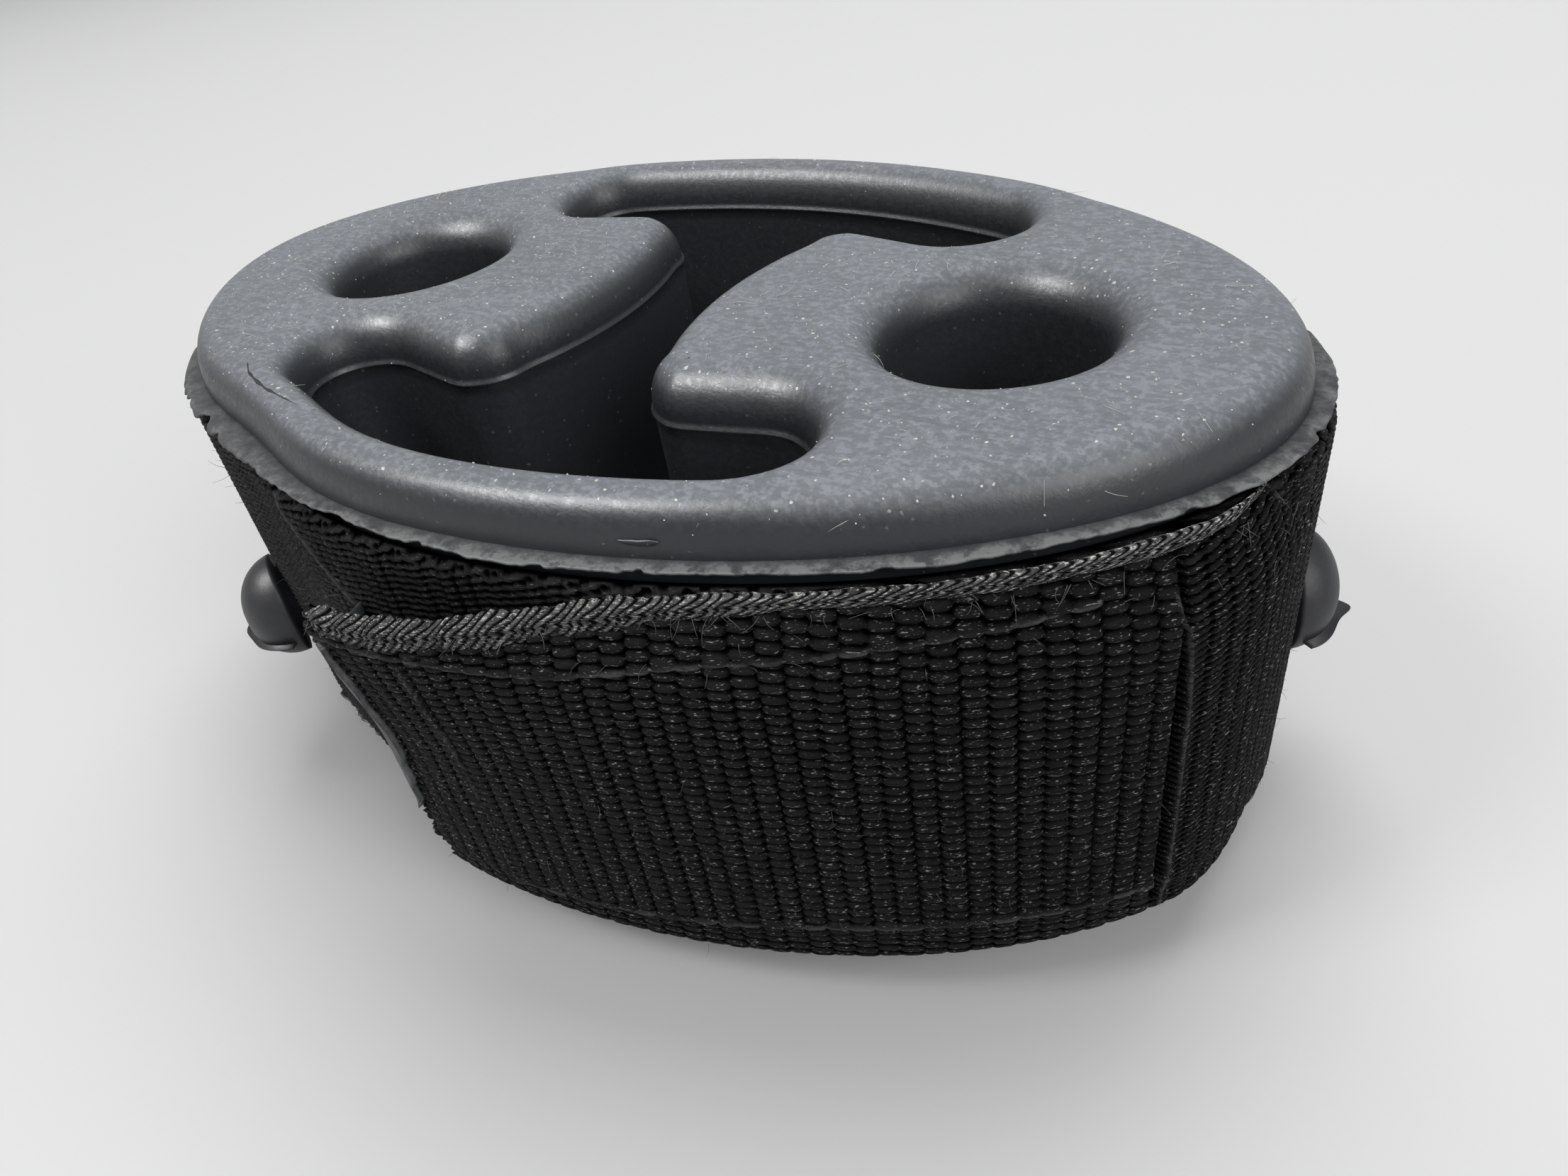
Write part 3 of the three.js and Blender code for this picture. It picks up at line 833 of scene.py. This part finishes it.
# A strip of black woven webbing is wound round the block and bonded on. Its first turn is
# pressed flat, so that it shows as a fine mesh of slanting yarns. One pleat crosses it
# where it comes out from under the second turn, at the left.
web_width = 24.4
mesh_pitch, mesh_row = perimeter / round(perimeter / 1.0), 0.43
mesh_rise, mesh_rows = 0.3, 188
knuckle_half, knuckle_end, crown_share = 0.57, 0.16, 0.6
band_bottom = 3.65
first_face = seat_gap + first_thickness
ply_start, ply_end = 1.0, 52.2  # where the second turn lies, round the front from the right
hidden_from, hidden_to = ply_start + 3.0, 27.0
back_column, right_end = 76, 11.8  # the back starts at this column of yarn
start_step, hidden_step, left_step, end_step = 0.2, 1.2, 0.24, 0.23
# The pleat's raised tone paints it as a pale line: a painted highlight.
pleat_width, pleat_flat, pleat_height, pleat_highlight_tone = 0.26, 0.8, 0.12, 2.0
pleat_line = [(59.2, 24.2), (58.4, 23.0), (56.4, 21.65), (54.9, 20.3), (53.6, 19.4)]
yarn_columns, yarn_rows = 400, 200
web_random = np.random.default_rng(7)
column_shift = web_random.normal(0, 0.12, yarn_columns)
yarn_tone = web_random.uniform(0.0, 1.0, (yarn_columns, yarn_rows))


def weave(distance, height, pitch, row_height, lean, fullness):
    """Rise of the yarns at places on the strip, 0 to 1, and the tone of the yarn there."""
    column = distance / pitch
    own = np.floor(column)
    best, tone = np.zeros_like(column), np.zeros_like(column)
    for step in (-1, 0, 1):
        c = own + step
        s = column - c - 0.5
        index = np.mod(c, yarn_columns).astype(int)
        row = height / row_height + 0.5 * np.mod(c, 2) + column_shift[index] - lean * s
        r = np.floor(row)
        q = row - r - 0.5
        tip = np.clip(1 - (np.abs(s) / knuckle_half) ** 4, 0, 1)
        body = np.clip(1 - (np.abs(q) / (knuckle_end + fullness * tip)) ** 2.4, 0, 1)
        rise = tip**crown_share * body**crown_share
        higher = rise > best
        best = np.where(higher, rise, best)
        tone = np.where(higher, yarn_tone[index, np.mod(r, yarn_rows).astype(int)], tone)
    return best, tone


def on_band(distance, out, height):
    """Places on the band: so far round the front from the right end, so far out, so high."""
    points, normals = station(-distance)
    flat = points + normals * out[..., None]
    return take_set(np.concatenate([flat, (band_bottom + height)[..., None]], -1))


def end_cap(first, count, outer_count):
    """Triangles over a strip's cut end, between its outer points and its inner ones."""
    if outer_count is None:
        return [tuple(range(first, first + count))]
    outer_run = list(range(first, first + outer_count))
    inner_run = list(range(first + count - 1, first + outer_count - 1, -1))
    faces, i, j = [], 0, 0
    while i < len(outer_run) - 1 or j < len(inner_run) - 1:
        if (i + 1) * (len(inner_run) - 1) <= (j + 1) * (len(outer_run) - 1):
            faces.append((outer_run[i], outer_run[i + 1], inner_run[j]))
            i += 1
        else:
            faces.append((outer_run[i], inner_run[j + 1], inner_run[j]))
            j += 1
    return faces


def strip(name, outside, inside=None, closed=False):
    """A strip from its outside (place, out, height, rise, tone) and its plain inside."""
    distance, out, height, rise, tone = outside
    outer_count = None
    if inside is not None:
        outer_count = out.shape[1]
        flat = np.zeros_like(inside[0])
        pairs = zip(outside, (*inside, flat, flat))
        distance, out, height, rise, tone = [np.hstack(pair) for pair in pairs]
    stations, count = out.shape
    faces = ring_faces(stations, count, closed=closed)
    if not closed:
        for first in (0, (stations - 1) * count):
            faces += end_cap(first, count, outer_count)
    piece = add_piece(name, on_band(distance, out, height).reshape(-1, 3), faces)
    lay = piece.data.attributes.new("lay", "FLOAT_VECTOR", "POINT")
    lay.data.foreach_set("vector", np.stack([distance, height, out], -1).astype(np.float32).ravel())
    store(piece, "tone", tone)
    store(piece, "rise", rise)
    return piece


def edge_round(height, reach=0.7, depth=0.55):
    """How much the strip's face falls away at its two woven edges."""
    near = np.minimum(height, web_width - height)
    return depth * (1 - np.sqrt(1 - (1 - np.clip(near / reach, 0, 1)) ** 2))


def drawn(distance, height, lines, half_width):
    """1 on a set of drawn lines, falling to 0 beside them."""
    closest = np.full(np.broadcast(distance, height).shape, 9.0)
    for line in lines:
        for (x0, y0), (x1, y1) in zip(line, line[1:]):
            run = (x1 - x0) ** 2 + (y1 - y0) ** 2
            t = np.clip(((distance - x0) * (x1 - x0) + (height - y0) * (y1 - y0)) / run, 0, 1)
            gap = np.hypot(distance - x0 - t * (x1 - x0), height - y0 - t * (y1 - y0))
            closest = np.minimum(closest, gap)
    return np.exp(-((closest / half_width) ** 2))


def yarn_material(name, dark, body, glint_colour, glint_low):
    """Black polyester yarn: dull, with painted glints on the crowns of the knuckles and painted shade
    in the gaps.
    """
    ridge_highlight_colour = (0.05, 0.05, 0.05, 1)
    material, tree, shader = new_material(name, roughness=0.6)
    lay = stored(tree, "lay", "Vector")
    tone, rise = stored(tree, "tone"), stored(tree, "rise")
    fibre = noise(tree, stretched(tree, lay, (2.6, 13.0, 6.0)), 1, 4, 0.75)
    glint = noise(tree, stretched(tree, lay, (3.6, 15.0, 8.0)), 1, 2, 0.6)
    wear = noise(tree, stretched(tree, lay, (0.12, 0.16, 0.1)), 1, 3, 0.6)
    # The colour falls to the dark one where the yarn sinks between the knuckles: painted shade in the
    # gaps.
    crown = ramp(tree, rise, 0.35, 0.95)
    light = math_of(
        tree,
        "MULTIPLY",
        ramp(tree, fibre, 0.35, 0.75, 0.25, 1.2),
        crown,
        ramp(tree, tone, 0.0, 2.5, 0.6, 2.6),
        ramp(tree, wear, 0.3, 0.7, 0.7, 1.3),
    )
    colour = mix_colours(tree, light, dark, body)
    # Painted glints: a bright colour in fine streaks on the knuckles' crowns.
    shine = math_of(tree, "MULTIPLY", ramp(tree, glint, glint_low, glint_low + 0.1), crown)
    colour = mix_colours(tree, shine, colour, glint_colour)
    # Where the tone is raised on ridge and pleat lines, the yarn is drawn pale grey: a painted
    # highlight.
    crest, broken = ramp(tree, tone, 1.5, 2.8), ramp(tree, fibre, 0.3, 0.6, 0.3, 1.0)
    colour = mix_colours(tree, math_of(tree, "MULTIPLY", crest, broken), colour, ridge_highlight_colour)
    tree.links.new(colour, shader.inputs["Base Color"])
    tree.links.new(ramp(tree, rise, 0.2, 0.9, 0.0, 0.1), shader.inputs["Specular IOR Level"])
    add_bump(tree, shader, fibre, strength=0.8, distance=0.00008)
    return material


first_columns = np.concatenate(
    [
        np.arange(0, ply_start + 2.0, start_step),
        np.arange(hidden_from, hidden_to, hidden_step),  # the second turn hides this
        np.arange(hidden_to + 0.5, (back_column - 0.1) * mesh_pitch, left_step),
        np.arange(back_column * mesh_pitch, perimeter - right_end - 0.1, mesh_pitch / 2),
        np.arange(perimeter - right_end, perimeter - 0.1, end_step),
    ]
)
along, high = np.meshgrid(first_columns, np.linspace(0, web_width, mesh_rows), indexing="ij")
inner_along, inner_high = np.meshgrid(first_columns, np.linspace(web_width, 0, 4), indexing="ij")
rise, tone = weave(along, high, mesh_pitch, mesh_row, lean=-0.6, fullness=0.28)
mark = drawn(along, high, [pleat_line], pleat_width)
outer = first_face - mesh_rise * (1 - rise) * (1 - pleat_flat * mark) + pleat_height * mark
outer -= edge_round(high)
first_turn = strip(
    "webbing_first_turn",
    (along, outer, high, np.maximum(rise, mark), tone + pleat_highlight_tone * mark),
    (inner_along, np.full_like(inner_high, seat_gap), inner_high),
    closed=True,
)
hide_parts("webbing_band")
pressed_yarn = yarn_material(
    "pressed webbing",
    dark=(0.0008, 0.0008, 0.001, 1),
    body=(0.027, 0.028, 0.029, 1),
    glint_colour=(0.13, 0.13, 0.13, 1),
    glint_low=0.62,
)
first_turn.data.materials.append(pressed_yarn)

# The second turn of the same strip covers the front, where thick yarns rise in upright
# columns of short knuckles. At the right it climbs onto the first turn, pressed to a fine
# mesh. At the left its upper edge has slid down and stands off, and it ends cut and peeling.
column_pitch, row_pitch = perimeter / round(perimeter / 1.16), 0.62
fine_pitch, fine_row = perimeter / round(perimeter / 1.05), 0.42
knuckle_rise, fine_rise = 0.52, 0.8 * mesh_rise
second_thickness, ply_climb, ply_least = 2.1, 9.6, 0.1
columns_start = 11.52  # up to here it is the fine mesh
slide_from, drop_at_tip = 29.0, 3.2  # the upper edge slides down over this run
lift_from, lift_at_tip = 34.0, 1.2  # and stands off the turn below
press_band, press_from, press_to = 4.0, 33.0, 47.0
fine_step, fine_end, column_step, ply_row_count = 0.105, 11.8, 0.142, 236
# The ridges' raised tone paints them as pale lines: a painted highlight.
ridge_width, ridge_flat, ridge_height, ridge_highlight_tone = 0.1, 0.7, 0.16, 2.2
foot_from, foot_to, foot_flat, foot_sunk = 1.6, 3.4, 0.6, 0.3
worn_from, worn_to, worn_share = 46.5, 49.5, 0.25
step_depth, step_width, step_foot = 0.5, 0.16, 1.5  # where the fine mesh ends
jag_steps, jag_size, jag_run = 70, 0.14, 3
tooth_size, tooth_share, tooth_rate = 0.45, 0.3, 90  # of the cut end's lower part
rim_thickness = 1.0  # of the upper edge, where it stands free
# Ridges left by the mould and the film: (distance, height) on the strip.
ridge_lines = [
    [(11.15, 0.8), (11.1, 8), (11.15, 16), (11.4, 20.5), (12.0, 22.6)],
    [(46.1, 1.6), (46.2, 9), (46.5, 15.5), (46.7, 19.5)],
    [(52.0, 20.2), (46.7, 20.4), (39, 20.5), (32.0, 21.8), (24, 22.5), (15, 23.1)],
    [(11.0, 3.2), (20, 3.5), (27.8, 3.6), (38, 2.8), (46.1, 2.0)],
]


def ply_shape(distance, share):
    """Height, lift and climb of the second turn along its length."""
    top = web_width - drop_at_tip * smooth_rise(distance, slide_from, ply_end + 2)
    lift = lift_at_tip * smooth_rise(distance, lift_from, ply_end) * smooth_rise(share, 0.5, 1.0)
    climbed = smooth_rise(distance, ply_start, ply_start + ply_climb)
    climb = ply_least + (second_thickness - ply_least) * climbed
    # The torn film presses the upper edge in until it slides out from under it.
    pressed = smooth_rise(share * web_width, web_width - press_band, web_width)
    pressed *= 1 - smooth_rise(distance, press_from, press_to)
    return share * top, lift - np.minimum(pressed, climb), climb


fine_columns = np.arange(ply_start, fine_end, fine_step)
ply_columns = np.append(fine_columns, np.arange(fine_end + 0.1, ply_end + 0.05, column_step))
ply_rows = np.linspace(0, 1, ply_row_count)
along, share = np.meshgrid(ply_columns, ply_rows, indexing="ij")
jag_knots = web_random.normal(0, jag_size, jag_steps)
jag = np.interp(ply_rows, np.linspace(0, 1, jag_steps), jag_knots)
jag += tooth_size * np.clip(tooth_share - ply_rows, 0, 1) * np.sin(ply_rows * tooth_rate)
along = along + smooth_rise(along, ply_end - jag_run, ply_end) * (jag + 0.5 * share)
high, lift, climb = ply_shape(along, share)
laid = share * web_width  # height on the strip itself, before its edge slid down
is_fine = along < columns_start
column_weave = weave(along, laid, column_pitch, row_pitch, lean=0.1, fullness=0.34)
fine_weave = weave(along, laid, fine_pitch, fine_row, lean=-0.7, fullness=0.28)
rise, tone = [np.where(is_fine, fine, thick) for fine, thick in zip(fine_weave, column_weave)]
mark = drawn(along, high, ridge_lines, ridge_width)
worn = smooth_rise(along, worn_from, worn_to) * worn_share
foot = 1 - smooth_rise(laid, foot_from, foot_to)  # the lower edge was pressed smooth
relief = np.where(
    is_fine,
    fine_rise * smooth_rise(along, ply_start, ply_start + 1.5),
    knuckle_rise * (1 - worn) * (1 - foot_flat * foot),
)
face = first_face + climb - relief * (1 - rise) * (1 - ridge_flat * mark)
face = face + ridge_height * mark - foot_sunk * foot
step_line = np.exp(-(((along - columns_start - 0.02) / step_width) ** 2))
face -= step_depth * step_line * (high > step_foot)
outer = face + lift - edge_round(laid, reach=1.0, depth=0.7)
inner_rows = np.linspace(1, 0, 6)
inner_along = np.stack([np.interp(inner_rows, ply_rows, row) for row in along])
inner_share = np.tile(inner_rows, (len(ply_columns), 1))
inner_high, inner_lift, inner_climb = ply_shape(inner_along, inner_share)
under = first_face - 0.6
gap_under = np.maximum(first_face + inner_climb + inner_lift - rim_thickness - under, 0)
second_turn = strip(
    "webbing_second_turn",
    (along, outer, high, np.maximum(rise, mark), tone + ridge_highlight_tone * mark),
    (inner_along, under + gap_under * smooth_rise(inner_share, 0.7, 1.0), inner_high),
)
thick_yarn = yarn_material(
    "black woven webbing",
    dark=(0.0003, 0.0003, 0.0004, 1),
    body=(0.0068, 0.007, 0.0073, 1),
    glint_colour=(0.22, 0.22, 0.215, 1),
    glint_low=0.61,
)
second_turn.data.materials.append(thick_yarn)

# The strip's selvedge is a tight plait of thicker yarn in two rows of slanting strands. Where
# the ply has slid down it stands clear of the rubber and shows its whole round edge.
strand_pitch, strand_slant = 0.56, 1.9
selvedge_height, selvedge_depth = 1.55, 1.1
row_line = 0.08  # how high round the edge the upper row of strands starts
plait_core, strand_round, filament_rise, filaments_a_strand = 0.84, 0.18, 0.035, 21
row_gap_depth, row_gap_width = 0.22, 0.12
hidden_size, grown_by = 0.5, 0.6  # under the film it is half as thick
square_out, square_up = 0.7, 0.8
edge_up, edge_down = 0.2, 0.5
tucked_in = 0.6  # how far its middle lies inside the strip's face
selvedge_step, selvedge_turns = 0.07, 44
edge_steps = np.arange(ply_start + 5.0, ply_end + 0.35, selvedge_step)
around = np.linspace(0, 2 * math.pi, selvedge_turns, endpoint=False)
along, around = np.meshgrid(edge_steps, around, indexing="ij")
edge_top, edge_lift, edge_climb = ply_shape(along, np.ones_like(along))
up_share, out_share = np.sin(around), np.cos(around)
is_upper = up_share > row_line
loose = wander(web_random, len(edge_steps), 60, 0.1)[:, None] + 0.12 * np.sin(along * 2.9)
slant = along / strand_pitch + strand_slant * up_share + loose
row_slant = slant + np.where(is_upper, 0.5, 0.0)  # the rows are half a strand apart
strand = np.abs(np.sin(math.pi * row_slant))
strand_tone = np.mod(np.floor(row_slant) * 0.37 + np.where(is_upper, 0.2, 0.7), 1.0)
row_gap = np.exp(-(((up_share - row_line) / row_gap_width) ** 2)) * (out_share > 0)
between_rows = 1 - row_gap_depth * row_gap
filaments = filament_rise * np.sin(filaments_a_strand * slant + 9 * up_share) * strand
plait = (plait_core + strand_round * strand**0.7 + filaments) * between_rows
taper = smooth_rise(along, ply_start + 5, ply_start + 10)
taper = taper * (1 - 0.75 * smooth_rise(along, ply_end - 1.0, ply_end + 0.4))
grow = hidden_size + grown_by * smooth_rise(along, slide_from - 4, slide_from + 10)
swell = 1 + 0.1 * np.sin(along * 1.1) + 0.06 * np.sin(along * 3.1)
radius = plait * (0.3 + 0.7 * taper) * grow * swell
edge_out = first_face + edge_climb + edge_lift - tucked_in
edge_out = edge_out + radius * signed_power(out_share, square_out) * selvedge_depth / 2
edge_high = edge_top + edge_up - edge_down * smooth_rise(along, slide_from - 4, slide_from + 8)
edge_high = edge_high + radius * signed_power(up_share, square_up) * selvedge_height / 2
strand_rise = np.clip(strand * 1.1, 0, 1) * between_rows
selvedge = strip("webbing_selvedge", (along, edge_out, edge_high, strand_rise, strand_tone * 1.6))
# The edge is drawn much lighter than the rest of the strip, with strong glints: partly frayed fibres,
# partly painted sheen.
frayed_and_lit_yarn = yarn_material(
    "frayed woven edge with painted sheen",
    dark=(0.004, 0.004, 0.0045, 1),
    body=(0.1, 0.099, 0.096, 1),
    glint_colour=(0.4, 0.4, 0.38, 1),
    glint_low=0.54,
)
selvedge.data.materials.append(frayed_and_lit_yarn)

# Some rubber ran over the strip's cut end and set there as a smooth thin sheet with a pale
# torn edge. Its lower part has come away, and there the cut yarns show.
sheet_low, sheet_high = 5.6, 19.6
widens_from, widens_to = 5.4, 9.5
sheet_longest, sheet_shortens, shortens_from = 4.0, 3.2, 16.5
sheet_over = 0.9  # how far it laps back over the strip
wave_count, wave_size = 14, 0.16
lip_rise, lip_width = 0.16, 0.06
sheet_levels, sheet_steps = 90, 12
sheet_thickness = 0.35
sheet_heights = np.linspace(sheet_low, sheet_high, sheet_levels)
share, level = np.meshgrid(np.linspace(0, 1, sheet_steps), sheet_heights, indexing="ij")
wave = wander(web_random, sheet_levels, wave_count, wave_size)
wave = np.tile(wave, (sheet_steps, 1))
start_at = ply_end + 0.1 - sheet_over * smooth_rise(level, widens_from, widens_to) + wave
sheet_reach = sheet_longest - sheet_shortens * smooth_rise(level, shortens_from, sheet_high)
sheet_along = start_at + (ply_end + sheet_reach - start_at) * share
sheet_lift = lift_at_tip * smooth_rise(level / (web_width - drop_at_tip), 0.5, 1.0)
fall_to = ply_end + np.maximum(sheet_reach - 0.4, 0.8)
sheet_fall = 1 - smooth_rise(sheet_along, ply_end - 0.1, fall_to)
sheet_out = first_face + (second_thickness + 0.1 + sheet_lift) * sheet_fall + 0.05
lip = lip_rise * np.exp(-((share / lip_width) ** 2))
sheet_face = on_band(sheet_along, sheet_out + lip, level)
sheet_back = on_band(sheet_along, sheet_out - sheet_thickness, level)
sheet_points = np.concatenate([sheet_face.reshape(-1, 3), sheet_back[::-1].reshape(-1, 3)])
sheet_faces = ring_faces(2 * sheet_steps, sheet_levels, closed=True, wrapped=False)
edge = sheet_levels - 1
for i in range(sheet_steps - 1):
    face_ring, face_next = i * sheet_levels, (i + 1) * sheet_levels
    back_ring = (2 * sheet_steps - 1 - i) * sheet_levels
    back_next = back_ring - sheet_levels
    sheet_faces.append((face_ring, face_next, back_next, back_ring))
    sheet_faces.append((face_ring + edge, back_ring + edge, back_next + edge, face_next + edge))
end_sheet = add_piece("cut_end_sheet", sheet_points, sheet_faces)
end_sheet.data.materials.append(torn_rubber)

# Single filaments stand out where the webbing is frayed: all round its silhouette as short
# fuzz, at its woven edge, and in a few longer tufts at the two ends.
fuzz_count, edge_fuzz_count, cut_fuzz_count = 420, 90, 60
tufts = ((76, 19, 5), (84, 22, 4), (perimeter - 9, 22, 6), (perimeter - 14, 23, 5))
filament_colour = (0.06, 0.06, 0.058, 1)
hair_rings, hair_taper = 7, 0.6
hair_corners = (0.0, 2.094, 4.189)
fuzz_length, edge_fuzz_length, tuft_length = (0.3, 0.9), (0.4, 1.3), (0.5, 1.6)
fuzz_radius, edge_fuzz_radius, cut_fuzz_radius = 0.016, 0.02, 0.03
fibre_random = np.random.default_rng(21)


def hair(start, heading, length, radius, bend):
    """A curved three-sided filament."""
    heading = heading / np.linalg.norm(heading)
    side_way = np.cross(heading, fibre_random.normal(size=3))
    side_way /= np.linalg.norm(side_way)
    other = np.cross(heading, side_way)
    rings = []
    for t in np.linspace(0, 1, hair_rings):
        centre = start + heading * length * t + side_way * bend * length * t**2
        centre = centre + other * 0.3 * bend * length * math.sin(3 * t)
        thin = radius * (1 - hair_taper * t)
        for turn in hair_corners:
            rings.append(centre + thin * (math.cos(turn) * side_way + math.sin(turn) * other))
    tip = 3 * (hair_rings - 1)
    return np.array(rings), ring_faces(hair_rings, 3) + [(2, 1, 0), (tip, tip + 1, tip + 2)]


def bundle(name, bits):
    """Many small bits as one piece."""
    points, faces, first = [], [], 0
    for bit_points, bit_faces in bits:
        points.append(bit_points)
        faces += [tuple(i + first for i in face) for face in bit_faces]
        first += len(bit_points)
    return add_piece(name, np.concatenate(points), faces)


def fibre_at(distance, height, out, length, radius, spread=0.9, bend=0.5):
    """A filament that stands out from a place on the band."""
    place = on_band(np.array([distance]), np.array([out]), np.array([height]))[0]
    _, normal = station(-np.array([distance]))
    outward_way = np.append(normal[0], 0) + fibre_random.normal(0, spread, 3)
    return hair(place, outward_way, length, radius, bend * fibre_random.uniform(-1, 1))


hairs = []
for _ in range(fuzz_count):
    where = fibre_random.uniform(0, perimeter)
    high = fibre_random.uniform(0.3, web_width - 0.5)
    covered = ply_start < where < ply_end - 1
    face_out = first_face + (float(ply_shape(where, 0.5)[2]) if covered else 0.0) - 0.15
    long = fibre_random.uniform(*fuzz_length)
    hairs.append(fibre_at(where, high, face_out, long, fuzz_radius))
for _ in range(edge_fuzz_count):
    where = fibre_random.uniform(ply_start + 3, ply_end)
    top, lifted, climbed = ply_shape(np.array([where]), np.array([1.0]))
    place_out = first_face + climbed[0] + lifted[0] - 0.1
    long = fibre_random.uniform(*edge_fuzz_length)
    hairs.append(fibre_at(where, top[0] - 0.2, place_out, long, edge_fuzz_radius))
for _ in range(cut_fuzz_count):
    high = fibre_random.uniform(0.1, 6.0)
    long = fibre_random.uniform(*fuzz_length)
    hairs.append(fibre_at(ply_end + 0.1, high, first_face + 1.2, long, cut_fuzz_radius))
for tuft_at, tuft_height, tuft_count in tufts:
    for _ in range(tuft_count):
        where = tuft_at + fibre_random.normal(0, 1.2)
        high = tuft_height + fibre_random.normal(0, 0.8)
        long = fibre_random.uniform(*tuft_length)
        tuft_hair = fibre_at(where, high, first_face - 0.1, long, edge_fuzz_radius, 0.5, 1.0)
        hairs.append(tuft_hair)
loose_fibres = bundle("loose_fibres", hairs)
filament, _, _ = new_material("loose filament", filament_colour)
loose_fibres.data.materials.append(filament)

# Pale grit and short bits of lint lie on the rubber's upper face and cling to its rim. They
# are loose, and only rest there.
grain_count, grains_a_lint = 900, 6
grain_size, grain_spread = 0.04, 0.4
grain_area, lowest_grain, steep_seat = (39, 25), 25, 0.3
lint_length, lint_bend, lint_radius, lint_off = (0.3, 1.6), (-0.6, 0.6), 0.017, 0.03
above_all = 60
grit_colour = (0.5, 0.5, 0.46, 1)
dust_random = np.random.default_rng(5)
grain_corners = np.array(
    [(1, 0, 0), (0, 1, 0), (-1, 0, 0), (0, -1, 0), (0, 0, 1), (0, 0, -1)], float
)
grain_faces = [(0, 1, 4), (1, 2, 4), (2, 3, 4), (3, 0, 4), (1, 0, 5), (2, 1, 5), (3, 2, 5), (0, 3, 5)]
grains, lint = [], []
while len(grains) < grain_count:
    spot = dust_random.uniform((-grain_area[0], -grain_area[1]), grain_area)
    at, way = rubber_surface.ray_cast(Vector((*spot, above_all)), Vector((0, 0, -1)))[:2]
    if at is None or at.z < lowest_grain or (way.z < steep_seat and dust_random.uniform() < 0.5):
        continue
    size = grain_size * math.exp(dust_random.normal(0, grain_spread))
    shape = grain_corners * size * dust_random.uniform(0.6, 1.4, (6, 3))
    grains.append((np.array(at) + shape, grain_faces))
    if len(grains) % grains_a_lint == 0:
        along_face = np.array(way.cross(Vector(dust_random.normal(size=3))))
        long, bend = dust_random.uniform(*lint_length), dust_random.uniform(*lint_bend)
        lint.append(hair(np.array(at + way * lint_off), along_face, long, lint_radius, bend))
dust_grains = bundle("dust_grains", grains + lint)
grit, _, _ = new_material("pale grit", grit_colour, roughness=0.7)
dust_grains.data.materials.append(grit)
